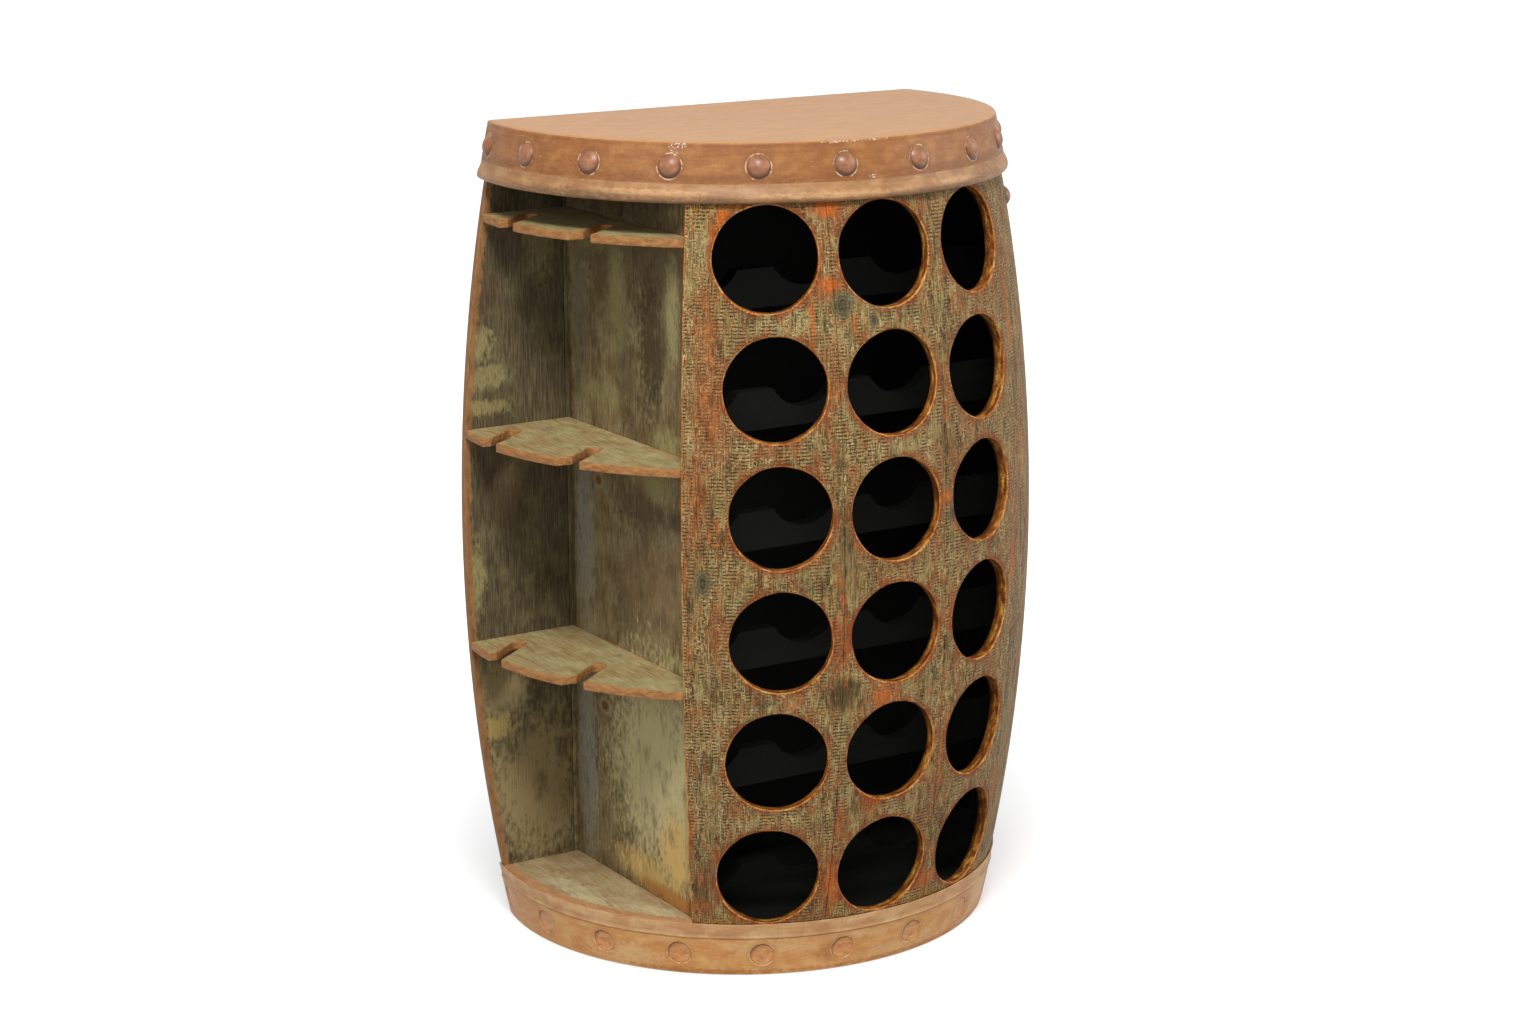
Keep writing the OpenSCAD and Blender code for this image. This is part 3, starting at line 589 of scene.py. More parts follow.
def hoop_finish(name, tones, cloud, wear, rivet_ring=None, chips=(), stains_and_painted_light=(), flat=False, clouded=0.8,
                roughness=0.45, seed=0.0):
    """Brushed paint.

    tones are the strokes' colours from dark to light, cloud and wear a colour each, rivet_ring the (height,
    radius) of the rivets' wax rings and painted shadows, chips marks of bare primer, stains_and_painted_light
    a list of (marks, colour) for stains, painted highlights and painted shade, and flat says that the piece
    lies level and has no grain attribute.
    """
    material, tree = new_material(name)
    if flat:
        sides = add(tree, "SeparateXYZ", {0: in_millimetres(tree)}).node.outputs
        place = add(tree, "CombineXYZ", {0: sides["X"], 1: sides["Z"], 2: sides["Y"]})
    else:
        place = add(tree, "Attribute", out="Vector", attribute_name="grain")
    fray = mottle(tree, place, (6, 6, 4), 0.3, 0.7, seed=seed + 3.1)
    strokes = mottle(tree, place, (30, 6, 2.2), 0.1, 0.9, seed=seed + 1.7, detail=4.0)
    crossed = mottle(tree, place, (1.8, 6, 14), 0.5, 0.74, seed=seed + 2.4)
    colour = add(tree, "ValToRGB", {0: strokes}, stops=[(0.0, tones[0]), (0.5, tones[1]), (1.0, tones[2])])
    colour = coats(tree, colour,
                   (cloud, mottle(tree, place, (36, 30, 16), 0.38, 0.66, seed=seed + 4.4), clouded),
                   (tones[2], mottle(tree, place, (26, 20, 14), 0.46, 0.7, seed=seed + 6.1), clouded),
                   (tones[0], crossed, 0.35),
                   (wear, mottle(tree, place, (9, 6, 2.2), 0.63, 0.72, seed=seed + 8.8), 0.45))
    for marks, shade in stains_and_painted_light:
        soft = mottle(tree, place, (8, 6, 2.5), 0.25, 0.55, seed=seed + 12.0)
        colour = coats(tree, colour, (shade, spots(tree, place, marks, fray), soft, 0.9))
    if rivet_ring:
        colour = painted_shadow_and_wax_rings(tree, place, colour, tones[0], *rivet_ring, seed)
    if chips:
        speck = mottle(tree, place, (1.6, 3, 1.0), 0.55, 0.6, seed=seed + 18.0)
        colour = coats(tree, colour, ("#efe9e2", spots(tree, place, chips, fray), speck))
    gloss = add(tree, "MapRange", {"Value": strokes, "To Min": roughness + 0.07, "To Max": roughness - 0.05})
    bump = relief(tree, 0.16, 0.7, (strokes, 1.0), (crossed, -0.5))
    return finish_material(material, tree, Base_Color=colour, Roughness=gloss, Specular_IOR_Level=0.22,
                           Normal=bump)


# The top's broad strokes run straight across and are hardly worn: an even copper, paler than the skirt as
# painted light on the level face that takes the light.
top_paint = hoop_finish("Brushed_copper_paint_on_top", ("#a97849", "#b58352", "#bf8f5e"), "#ad7c50",
                        "#c89d70", flat=True, clouded=0.4, roughness=0.42, seed=110.0)
# The skirt is redder, with painted shade along its lower edge in the corner above the bead, and knocks have
# chipped its upper edge to the primer.
cover_paint = hoop_finish("Brushed_copper_paint_on_skirt", ("#7d502c", "#966237", "#ab7846"), "#895735",
                          "#bd8c5e", stains_and_painted_light=[([(0, 767, 600, 4.5, 0.75)], "#7a4e2e")],
                          rivet_ring=(height - rivet_inset, dome_r),
                          chips=[(-221, 797, 9, 3.5, 1.2), (-33, 798.5, 34, 1.8, 1.2), (-16, 766, 4, 2, 0.9),
                                 (-226, 790, 4, 4, 0.7)], seed=120.0)
# The bead sticks out furthest: a painted highlight runs along the top of its nose, with darker grey-brown
# streaks below it.
bead_streaks_and_highlight = [([(-330, 749, 90, 6, 0.9), (-200, 748, 70, 4, 0.8), (60, 748, 80, 4, 0.8),
                 (-100, 747, 60, 2.5, 0.7), (150, 753, 40, 4, 0.7)], "#6b5139"),
               # Painted highlight along the top of the nose.
               ([(-60, 752, 90, 3, 0.6), (-250, 755, 60, 3, 0.6), (100, 754, 40, 3, 0.5)], "#d0a577")]
bead_paint = hoop_finish("Brushed_copper_paint_on_bead", ("#83603e", "#9e744c", "#b68c62"), "#8f6342",
                         "#caa27a", stains_and_painted_light=bead_streaks_and_highlight, seed=130.0)
# The base band is paler, with patches of dried polish, and painted shade makes a dark line where it meets
# the floor.
band_stains_and_shade = [([(-300, 12, 50, 14, 0.7), (-120, 30, 60, 6, 0.6), (40, 10, 60, 8, 0.6),
                 (200, 24, 60, 10, 0.6), (-30, 33, 50, 4, 0.7)], "#d9b384"),
               # Painted shade: the dark line along the foot, where the band meets the floor.
               ([(-200, 3, 120, 3, 0.8), (60, 3, 160, 2.5, 0.7), (-60, 20, 16, 14, 0.5),
                 (150, 18, 18, 14, 0.5)], "#9a6134")]
band_paint = hoop_finish("Brushed_copper_paint_on_base", ("#b97f44", "#cf995b", "#dbac72"), "#c1804a",
                         "#e6c79f", stains_and_painted_light=band_stains_and_shade, rivet_ring=(rivet_inset, band_hole_r), seed=140.0)
# The sloped bead above it takes the light from above: the same paint, a little greyer.
base_bead_paint = hoop_finish("Brushed_copper_paint_on_base_bead", ("#a0744b", "#b98e60", "#cba678"),
                              "#a6764f", "#dfbe97", seed=150.0)

# %% [markdown]
# ## Rivets, screws and black painted shade
# The rivets are the same copper paint, but handling has polished their domes, and painted shade darkens
# their feet. The screws at the back are zinc-plated steel that has gone dull, and the bottle chamber is
# painted matt black as shade, so that only the bottles show.

# %% Small finishes
def worn_finish(name, tones, size, roughness, metallic=0.0, shine=0.5, painted_shade=None, seed=0.0):
    """Tones in blotches of a size in mm, rougher where they are light; painted shade darkens where rim is
    low.
    """
    material, tree = new_material(name)
    place = in_millimetres(tree)
    blotches = mottle(tree, place, size, 0.3, 0.7, seed=seed, detail=5.0)
    colour = add(tree, "ValToRGB", {0: blotches}, stops=[(0.0, tones[0]), (0.5, tones[1]), (1.0, tones[2])])
    if painted_shade:
        rim = add(tree, "Attribute", out="Fac", attribute_name="rim")
        low = add(tree, "MapRange", {"Value": rim, "From Min": 0.5, "From Max": 0.0})
        colour = coats(tree, colour, (painted_shade, low, 0.85))
    gloss = add(tree, "MapRange", {"Value": blotches, "To Min": roughness - 0.06, "To Max": roughness + 0.08})
    bump = relief(tree, 0.1, 0.5, (blotches, 1.0))
    return finish_material(material, tree, Base_Color=colour, Roughness=gloss, Metallic=metallic,
                           Specular_IOR_Level=shine, Normal=bump)


# Domes rubbed by hands: a soft shine on the crown, and painted shade on the foot and the lower side.
rivet_paint = worn_finish("Polished_copper_paint_on_rivet", ("#784a2d", "#8e5b3b", "#a4714c"), (9, 9, 9),
                          0.4, painted_shade="#4a2a1a", seed=160.0)
# Paler and flatter: these catch little light, and painted shade darkens their upper left edges.
base_rivet_paint = worn_finish("Polished_copper_paint_on_base_rivet", ("#b0703c", "#c88a50", "#d69e66"),
                               (6, 6, 4), 0.42, painted_shade="#6b3f22", seed=165.0)
# Zinc gone grey: a metal's reflection, blurred and cloudy.
screw_zinc = worn_finish("Dull_zinc_plate", ("#7d7a72", "#8d8a82", "#a09d95"), (2, 2, 2), 0.42, metallic=1.0,
                         seed=170.0)
# Black painted shade on sawn wood: hardly any reflection, so the chamber looks deep.
black_painted_shade = worn_finish("Matt_black_painted_shade", ("#080806", "#0c0c0a", "#12120f"), (14, 3, 3), 0.7, shine=0.15,
                          seed=180.0)

# %% [markdown]
# ## From a bmesh to a piece
# Each piece is shaped in millimetres about the barrel's axis. `piece` welds it, turns its faces outwards,
# stores where every point lies along the grain, and only then moves it into the frame's metres. The grain
# coordinates are how paint and grain follow a bent stave: they are measured round the barrel, into the
# wood and along it, just as if the board were laid flat on a bench. The rim attribute holds a distance from
# a worn edge, which the finish turns into wear.

# %% Helpers for pieces
def unrolled(co):
    """Round the barrel, into the wood, and up."""
    return Vector((belly_r * math.atan2(co.x, -co.y), -proud_of(co), co.z))


def facing_left(co):
    """For boards that face left: their width, into them, and up."""
    return Vector((co.y, co.x, co.z))


def lying(co):
    """For boards that lie flat: across, into them, and from front to rear."""
    return Vector((co.x, co.z, co.y))


def piece(name, bm, material, replaced, grain=unrolled, marks=None, top=None):
    """Turns a bmesh into a finished piece that rides on the cabinet; top is the finish of level faces."""
    bmesh.ops.remove_doubles(bm, verts=bm.verts, dist=0.005)
    bmesh.ops.recalc_face_normals(bm, faces=bm.faces)
    grain_layer = bm.verts.layers.float_vector.new("grain")
    for vert in bm.verts:
        vert[grain_layer] = grain(vert.co)
    if marks:
        mark_layer = bm.verts.layers.float.new("rim")
        for vert in bm.verts:
            vert[mark_layer] = marks(vert.co)
    for vert in bm.verts:
        vert.co = (vert.co + axis_place) * 0.001
    for face in bm.faces:
        face.smooth = True
    mesh = bpy.data.meshes.new(name)
    bm.to_mesh(mesh)
    bm.free()
    mesh.set_sharp_from_angle(angle=math.radians(40))
    mesh.materials.append(material)
    if top:
        mesh.materials.append(top)
        for polygon in mesh.polygons:
            polygon.material_index = int(polygon.normal.z > 0.7)
    made = bpy.data.objects.new(name, mesh)
    bpy.context.scene.collection.objects.link(made)
    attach(made, "root")
    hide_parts(*replaced)
    print(f"{name}: {len(mesh.polygons)} faces")
    return made


def new_verts(made):
    """The points among what an operator made."""
    return [g for g in made["geom"] if isinstance(g, bmesh.types.BMVert)]


def new_edges(made):
    """The edges among what an operator made."""
    return [g for g in made["geom"] if isinstance(g, bmesh.types.BMEdge)]


def soften(bm, edges, width, segments=3, clamp=True):
    """Rounds edges by a width, as planing and wear do."""
    bmesh.ops.bevel(bm, geom=list(edges), offset=width, offset_type="OFFSET", affect="EDGES",
                    segments=segments, profile=0.5, material=-1, clamp_overlap=clamp)


def soften_corners(bm, degrees, width, clamp=True):
    """Rounds every edge at which the surface turns by more than an angle."""
    bm.normal_update()
    soften(bm, [e for e in bm.edges if e.calc_face_angle(0) > math.radians(degrees)], width, clamp=clamp)


def connected(verts):
    """All points that edges join to the given ones."""
    found, grow = set(verts), list(verts)
    while grow:
        for edge in grow.pop().link_edges:
            for vert in edge.verts:
                if vert not in found:
                    found.add(vert)
                    grow.append(vert)
    return list(found)


# %% [markdown]
# ## Staves with bottle holes
# The front is three wide staves, bent over a fire and then drilled with a 97 mm hole saw. A boolean cut
# would leave ragged triangles round each hole, so every stave is grown outwards from its holes instead: a
# ring of points starts on the stave's border, is extruded in steps towards the hole, rolls over the worn
# rim, goes down the wall of the hole and out again across the back. Cells stacked on each other weld into
# one stave, and a bridge between its front and back outlines gives it edges. The saw was held by hand, so
# each hole wanders from a true circle by a fraction of a millimetre.

# %% Rings round a hole
ring_points = 72


def ring_cell(bm, middle, centre_z, left, right, low, high, radius, steps, wobble=lambda turn: 0.0):
    """Grows a patch of the barrel round one hole.

    middle, left and right give the angles of the column's middle and of the patch's borders at a height,
    low and high its heights. Each step is (share, growth, depth): the share of the way from the hole's rim
    to the border, how much wider than the hole the ring is, and how deep it lies below the face.
    """
    def at(turn, share, growth, depth):
        c, s = math.cos(turn), math.sin(turn)
        rim = radius + growth + wobble(turn)
        z_rim = centre_z + rim * s
        hole = middle(centre_z) + math.asin(rim * c / (stave_r(z_rim) - depth))
        stretch = 1 / max(abs(c), abs(s))
        a, b = c * stretch, s * stretch
        z_border = centre_z + b * ((high - centre_z) if b > 0 else (centre_z - low))
        edge = (right if a > 0 else left)(z_border)
        border = middle(z_border) + abs(a) * (edge - middle(z_border))
        z = z_rim + share * (z_border - z_rim)
        return on_barrel(hole + share * (border - hole), z, -depth)

    made = bmesh.ops.create_circle(bm, segments=ring_points, radius=1.0)
    ring = made["verts"]
    turns = {vert: math.atan2(vert.co.y, vert.co.x) for vert in ring}
    edges = list({edge for vert in ring for edge in vert.link_edges})
    for vert in ring:
        vert.co = at(turns[vert], *steps[0])
    for step in steps[1:]:
        grown = bmesh.ops.extrude_edge_only(bm, edges=edges)
        fresh = set(new_verts(grown))
        next_turns = {}
        for vert in fresh:
            joined = [edge.other_vert(vert) for edge in vert.link_edges]
            next_turns[vert] = turns[next(old for old in joined if old not in fresh)]
        for vert in fresh:
            vert.co = at(next_turns[vert], *step)
        edges = [edge for edge in new_edges(grown) if all(vert in fresh for vert in edge.verts)]
        turns = next_turns


def close_outline(bm):
    """Welds the cells and bridges the open outlines in front and behind; returns the outlines' edges."""
    bmesh.ops.remove_doubles(bm, verts=bm.verts, dist=0.01)
    outlines = [edge for edge in bm.edges if edge.is_boundary]
    bmesh.ops.bridge_loops(bm, edges=outlines)
    return outlines


# %% The three bottle staves
half_gap = 0.3
play = 0.2
saw_wander = 0.25
saw_chatter = 0.18
seam_x = [(column_x[0] + column_x[1]) / 2, (column_x[1] + column_x[2]) / 2]
rim_steps = [(1.0, 0, 0), (0.72, 0, 0), (0.47, 0, 0), (0.26, 0, 0), (0.1, 0, 0), (0, 2.2, 0), (0, 1.1, 0.25),
             (0, 0.35, 0.9), (0, 0, 2.0), (0, -0.1, 6.0), (0, 0.1, 10.4), (0, 1.2, stave_t),
             (0.5, 0, stave_t), (1.0, 0, stave_t)]


def straight_edge(x):
    """Border angle of a stave that is sawn along the upright plane x."""
    return lambda z: math.asin(x / stave_r(z))


def rim_distance(co):
    """Distance from the nearest bottle hole's rim, measured square to that hole."""
    angle = math.atan2(co.x, -co.y)
    r = math.hypot(co.x, co.y)
    nearest = 1e6
    for x in column_x:
        for z in row_z:
            across = r * math.sin(angle - math.asin(x / stave_r(z)))
            nearest = min(nearest, math.hypot(across, co.z - z) - hole_r)
    return nearest


stave_edges = [lambda z: -front_angle, straight_edge(seam_x[0] - half_gap),
               straight_edge(seam_x[0] + half_gap), straight_edge(seam_x[1] - half_gap),
               straight_edge(seam_x[1] + half_gap), lambda z: front_angle]
cell_ends = [floor_z + play] + [z + row_pitch / 2 for z in row_z[:-1]] + [core_z - play]
for i, name in enumerate(["left", "middle", "right"]):
    bm = bmesh.new()
    for j, z in enumerate(row_z):
        phase = 1.7 * i + 2.3 * j
        ring_cell(bm, straight_edge(column_x[i]), z, stave_edges[2 * i], stave_edges[2 * i + 1],
                  cell_ends[j], cell_ends[j + 1], hole_r, rim_steps,
                  lambda turn: (saw_wander * math.sin(3 * turn + phase)
                                + saw_chatter * math.sin(7 * turn + 2 * phase)))
    outer = [edge for edge in close_outline(bm) if min(proud_of(v.co) for v in edge.verts) > -stave_t / 2]
    soften(bm, outer, 1.0)
    piece("Bottle_stave_" + name, bm, stave_paint, ["bottle_stave_" + name],
          marks=rim_distance)

# %% [markdown]
# ## Staves of the closed side
# The right side has two plain staves. Each starts as a flat grid whose points are laid on the barrel's
# face; extruding it inwards gives the thickness, and a bevel takes the sharpness off. They have no holes,
# so their distance from a rim is a number that no wear reaches.

# %% Side staves
no_rim = 100.0


def plain_stave(left, right, low, high, columns=14, rows=40):
    """Stave between two border angles, each a function of the height."""
    bm = bmesh.new()
    made = bmesh.ops.create_grid(bm, x_segments=columns, y_segments=rows, size=1.0)
    front = list(bm.faces)
    for vert in made["verts"]:
        z = low + (high - low) * (vert.co.y + 1) / 2
        angle = left(z) + (right(z) - left(z)) * (vert.co.x + 1) / 2
        vert.co = on_barrel(angle, z)
    backs = bmesh.ops.extrude_face_region(bm, geom=front)
    for vert in new_verts(backs):
        shrink = 1 - stave_t / math.hypot(vert.co.x, vert.co.y)
        vert.co.x *= shrink
        vert.co.y *= shrink
    soften_corners(bm, 50, 1.4, clamp=False)
    return bm


seam_angle = math.atan(half_gap / belly_r)
stave_end = math.pi / 2 + math.asin(inner_rear_y / stave_r(height))
side_mid = (front_angle + stave_end) / 2
side_spans = {"front": (lambda z: front_angle + seam_angle, lambda z: side_mid - seam_angle),
              "rear": (lambda z: side_mid + seam_angle, lambda z: rear_angle(z, inner_rear_y - play))}
for name, (left, right) in side_spans.items():
    piece("Side_stave_" + name, plain_stave(left, right, floor_z + play, core_z - play), stave_paint,
          ["side_stave_" + name], marks=lambda co: no_rim)

# %% [markdown]
# ## The turned pieces
# The cover with its skirt, the beads, the base band and the floor board are all rings or discs of the same
# barrel. Each is a profile drawn in the XZ plane and spun round the axis. One cut along the flat rear face
# turns the full ring into the half that we need, and the open cut is filled.

# %% Spinning a profile
def spun(profile, rear, soft, steps=256):
    """Spins a closed profile of (radius, z) points, cuts it off at y = rear and softens the cut edges."""
    bm = bmesh.new()
    verts = [bm.verts.new((r, 0.0, z)) for r, z in profile]
    edges = [bm.edges.new((a, b)) for a, b in zip(verts, verts[1:])]
    if profile[0][0] > 0.01:
        edges.append(bm.edges.new((verts[-1], verts[0])))
    bmesh.ops.spin(bm, geom=verts + edges, axis=(0, 0, 1), cent=(0, 0, 0), angle=2 * math.pi, steps=steps,
                   use_merge=True)
    bmesh.ops.remove_doubles(bm, verts=bm.verts, dist=0.005)
    bmesh.ops.recalc_face_normals(bm, faces=bm.faces)
    cut = bmesh.ops.bisect_plane(bm, geom=bm.verts[:] + bm.edges[:] + bm.faces[:], dist=0.0005,
                                 plane_co=(0, rear, 0), plane_no=(0, 1, 0), clear_outer=True)
    rim = [g for g in cut["geom_cut"] if isinstance(g, bmesh.types.BMEdge)]
    bmesh.ops.triangle_fill(bm, edges=rim, use_beauty=True)
    soften(bm, [e for e in rim if e.is_valid and len(e.link_faces) == 2], soft, segments=2)
    return bm


def bowed(z0, z1, proud, count):
    """Profile points that follow the staves' bow from z0 to z1."""
    levels = [z0 + (z1 - z0) * k / count for k in range(count + 1)]
    return [(stave_r(z, proud), z) for z in levels]


def arc(centre, radius, a0, a1, count):
    """Profile points on a circular arc, angles in degrees."""
    turns = [math.radians(a0 + (a1 - a0) * k / count) for k in range(count + 1)]
    return [(centre[0] + radius * math.cos(t), centre[1] + radius * math.sin(t)) for t in turns]


# %% Cover, beads and floor board
skirt_proud = 5.5
rim_round = 3.2
cover_t = 3.0
stand_off = 0.3
rim_centre = (stave_r(height - rim_round, skirt_proud) - rim_round, height - rim_round)
top_rings = [(rim_centre[0] * k / 12, height) for k in range(12)]
cover_profile = (top_rings + arc(rim_centre, rim_round, 90, -12, 8)
                 + bowed(height - rim_round - 3, skirt_z, skirt_proud, 8)
                 + [(stave_r(skirt_z) + stand_off, skirt_z)]
                 + bowed(skirt_z + 1, height - cover_t, stand_off, 4) + [(0.0, height - cover_t)])
piece("Cover", spun(cover_profile, rear_y, soft=0.8), cover_paint, ["top_cover"],
      top=top_paint)

bead_shape = [(skirt_proud, skirt_z), (5.6, 761.0), (5.9, 759.0), (6.5, 757.0), (7.3, 755.0), (7.85, 753.0),
              (8.0, 751.0), (7.8, 749.0), (7.1, 747.2), (6.0, 746.0), (4.6, top_band_z + 0.3),
              (3.0, top_band_z)]
bead_profile = [(stave_r(z) + proud, z)
                for proud, z in bead_shape + [(stand_off, top_band_z), (stand_off, skirt_z)]]
piece("Top_bead", spun(bead_profile, rear_y, soft=0.6), bead_paint, ["top_bead"])

nose_z = 40.5
nose_proud = 2.6
nose = (stave_r(nose_z) + nose_proud, nose_z)
base_bead_profile = ([(nose[0] - 0.9, base_band_top + 0.1)] + arc((nose[0] - 1.2, nose[1]), 1.2, -60, 40, 5)
                     + [(nose[0] - 0.5, 44.0), (stave_r(floor_z) + 1.6, floor_z - 1.0),
                        (stave_r(floor_z) + 1.1, floor_z), (stave_r(floor_z) + stand_off, floor_z - 0.2),
                        (stave_r(base_band_top) + stand_off, base_band_top + 0.1)])
piece("Base_bead", spun(base_bead_profile, rear_y, soft=0.4), base_bead_paint, ["base_bead"])

underside = floor_z - floor_t
floor_profile = ([(stave_r(floor_z) * k / 8, floor_z) for k in range(8)]
                 + [(stave_r(floor_z) - 1.2, floor_z), (stave_r(floor_z) - 0.4, floor_z - 0.4),
                    (stave_r(floor_z) - 0.1, floor_z - 1.2),
                    (stave_r(underside + 0.5), underside + 0.5), (0.0, underside)])
piece("Floor_board", spun(floor_profile, inner_rear_y, soft=0.6), floor_paint, ["floor_board"],
      grain=lying, marks=lambda co: stave_r(floor_z) - math.hypot(co.x, co.y))

# %% [markdown]
# ## Rivets
# Twelve domed rivets hold the skirt, and two more sit below it on the closed side. Twelve pale ones were
# pressed into round holes of the base band until their faces were slightly hollow. One dome is a short arc
# spun into a cap, or into a dish where its rise is below zero; a matrix stands it on the barrel's face,
# square to the lean of the staves. Shade is painted on each dome: its mark falls from the top to the foot
# and from the upper side to the lower, and on the pale discs it darkens the upper left edge.

# %% Domes on the skirt
def face_frame(angle, z, proud):
    """Matrix whose Z points straight out of the barrel's face."""
    lean = math.asin((z - height / 2) / (bow_r + proud))
    r = stave_r(z, proud)
    return (Matrix.Rotation(angle, 4, "Z") @ Matrix.Translation((0.0, -r, z))
            @ Matrix.Rotation(math.pi / 2 - lean, 4, "X"))


def dome(bm, matrix, diameter, rise, foot=0.25, steps=40):
    """Adds one spherical cap, or a dish if its rise is below zero, on a low round foot."""
    ball = (diameter ** 2 / 4 + rise ** 2) / (2 * rise)
    reach = math.asin(diameter / 2 / ball)
    profile = [(ball * math.sin(turn), rise - ball + ball * math.cos(turn))
               for turn in (reach * k / 9 for k in range(9))]
    under = min(rise, 0.0) - 0.8
    profile += [(diameter / 2 - 0.12, foot), (diameter / 2, 0.0), (diameter / 2 - 0.3, under), (0.0, under)]
    verts = [bm.verts.new((r, 0.0, z)) for r, z in profile]
    edges = [bm.edges.new((a, b)) for a, b in zip(verts, verts[1:])]
    bmesh.ops.spin(bm, geom=verts + edges, axis=(0, 0, 1), cent=(0, 0, 0), angle=2 * math.pi, steps=steps,
                   use_merge=True)
    bmesh.ops.transform(bm, matrix=matrix, verts=connected(verts))


rivet_angles = [-rivet_end + i * rivet_step for i in range(rivet_count)]
dome_rise = 5.0
shade_height = 24.0


def rivets(name, node, finish, angles, z, stand, diameter, rise=dome_rise, foot=0.25, marks=None):
    """Domes at angles and a height, standing proud of the staves; marks are higher where painted shade is
    less.
    """
    bm = bmesh.new()
    for angle in angles:
        dome(bm, face_frame(angle, z, stand), diameter, rise, foot)
    piece(name, bm, finish, [node],
          marks=marks or (lambda co: (proud_of(co) - stand) / rise + (co.z - z) / shade_height))


rivets("Skirt_rivets", "top_rivets", rivet_paint, rivet_angles, height - rivet_inset, skirt_proud,
       2 * dome_r)

# %% Discs in the base band, and rivets on the closed side
disc_proud = 1.2
disc_width = 22.3
disc_hollow = 0.9
side_rivet_z = top_band_z - 29.0
side_rivet_width = 18.5
shade_centre = 3.0
unshaded_r = 15.4
shade_width = 8.0


def from_shaded_edge(co):
    """Share of the way from a disc's upper left edge, where shade is painted, to the lower right."""
    angle = math.atan2(co.x, -co.y)
    nearest = min(rivet_angles, key=lambda a: abs(a - angle))
    across = math.hypot(co.x, co.y) * (angle - nearest)
    return (unshaded_r - math.hypot(across - shade_centre, co.z - rivet_inset + shade_centre)) / shade_width


rivets("Base_rivets", "base_rivets", base_rivet_paint, rivet_angles, rivet_inset, disc_proud, disc_width,
       rise=-disc_hollow, foot=0.0, marks=from_shaded_edge)
side_angles = [(front_angle + side_mid) / 2, (side_mid + stave_end) / 2]
rivets("Side_rivets", "side_rivets", rivet_paint, side_angles, side_rivet_z, 0.0, side_rivet_width)

# %% [markdown]
# The base band is a hoop with a round hole for every rivet. It is grown from its twelve holes with the same
# rings as the staves, but here they lie proud of the staves, turn in at the hole and return along the inner
# face. Only the first and the last patch differ, because they end at the flat back.

# %% The base band, pierced for its rivets
band_proud = 2.0
band_steps = [(1.0, 0, -band_proud), (0.6, 0, -band_proud), (0.3, 0, -band_proud), (0, 1.2, -band_proud),
              (0, 0.5, -band_proud + 0.15), (0, 0.1, -band_proud + 0.6), (0, 0, -0.5), (0.5, 0, -0.3),
              (1.0, 0, -0.3)]
bm = bmesh.new()
for i, angle in enumerate(rivet_angles):
    left = ((lambda z: -rear_angle(z, rear_y - 0.1, band_proud)) if i == 0
            else (lambda z, a=angle: a - rivet_step / 2))
    right = ((lambda z: rear_angle(z, rear_y - 0.1, band_proud)) if i == rivet_count - 1
             else (lambda z, a=angle: a + rivet_step / 2))
    ring_cell(bm, lambda z, a=angle: a, rivet_inset, left, right, play, base_band_top - 0.1, band_hole_r,
              band_steps)
close_outline(bm)
piece("Base_band", bm, band_paint, ["base_band"])

# %% [markdown]
# ## Boards of the glass bay
# The divider is four planed boards and each shelf is one board whose rim follows the barrel. Stem slots
# are cut from the rim inwards, with one corner of each mouth cut back to guide the foot of a glass. A flat
# outline, filled and extruded, is how a joiner would saw it.

# %% Divider boards
divider_seams = [inner_rear_y, 5.0, -80.0, -165.0]


def sawn(outline, z0, z1, soft, cuts=()):
    """Extrudes a flat outline of (x, y) points from z0 to z1 and rounds its corners."""
    bm = bmesh.new()
    verts = [bm.verts.new((x, y, z0)) for x, y in outline]
    face = bm.faces.new(verts)
    up = bmesh.ops.extrude_face_region(bm, geom=[face])
    bmesh.ops.translate(bm, verts=new_verts(up), vec=(0, 0, z1 - z0))
    soften_corners(bm, 25, soft)
    for z in cuts:
        bmesh.ops.bisect_plane(bm, geom=bm.verts[:] + bm.edges[:] + bm.faces[:], dist=0.001,
                               plane_co=(0, 0, z), plane_no=(0, 0, 1))
    return bm


bay_levels = [floor_z + (core_z - floor_z) * k / 24 for k in range(1, 24)]
for i in range(4):
    x0, x1 = divider_x, divider_x + divider_t
    y1 = divider_seams[i] - (half_gap if i else 0.1)
    y0 = divider_seams[i + 1] + half_gap if i < 3 else -belly_r
    bm = sawn([(x0, y0), (x1, y0), (x1, y1), (x0, y1)], floor_z + 0.1, core_z - 0.1, 0.8, bay_levels)
    for vert in bm.verts:
        inside_stave = math.sqrt((stave_r(vert.co.z) - stave_t - 0.5) ** 2 - divider_x ** 2)
        vert.co.y = max(vert.co.y, -inside_stave)
    piece(f"Divider_board_{i + 1}", bm, divider_paint, [f"divider_board_{i + 1}"],
          grain=facing_left)


# %% Glass shelves
slot_angles = [math.radians(-87.5), math.radians(-64.5)]
slot_heading = math.radians(38)
slot_w = 14.0
slot_len = 58.0
slot_chamfer = 16.0


def meet_rim(point, direction, r):
    """Where a line from a point, going against its direction, meets the circle of radius r."""
    half = point.dot(direction)
    return point - direction * (half + math.sqrt(half ** 2 - point.dot(point) + r * r))


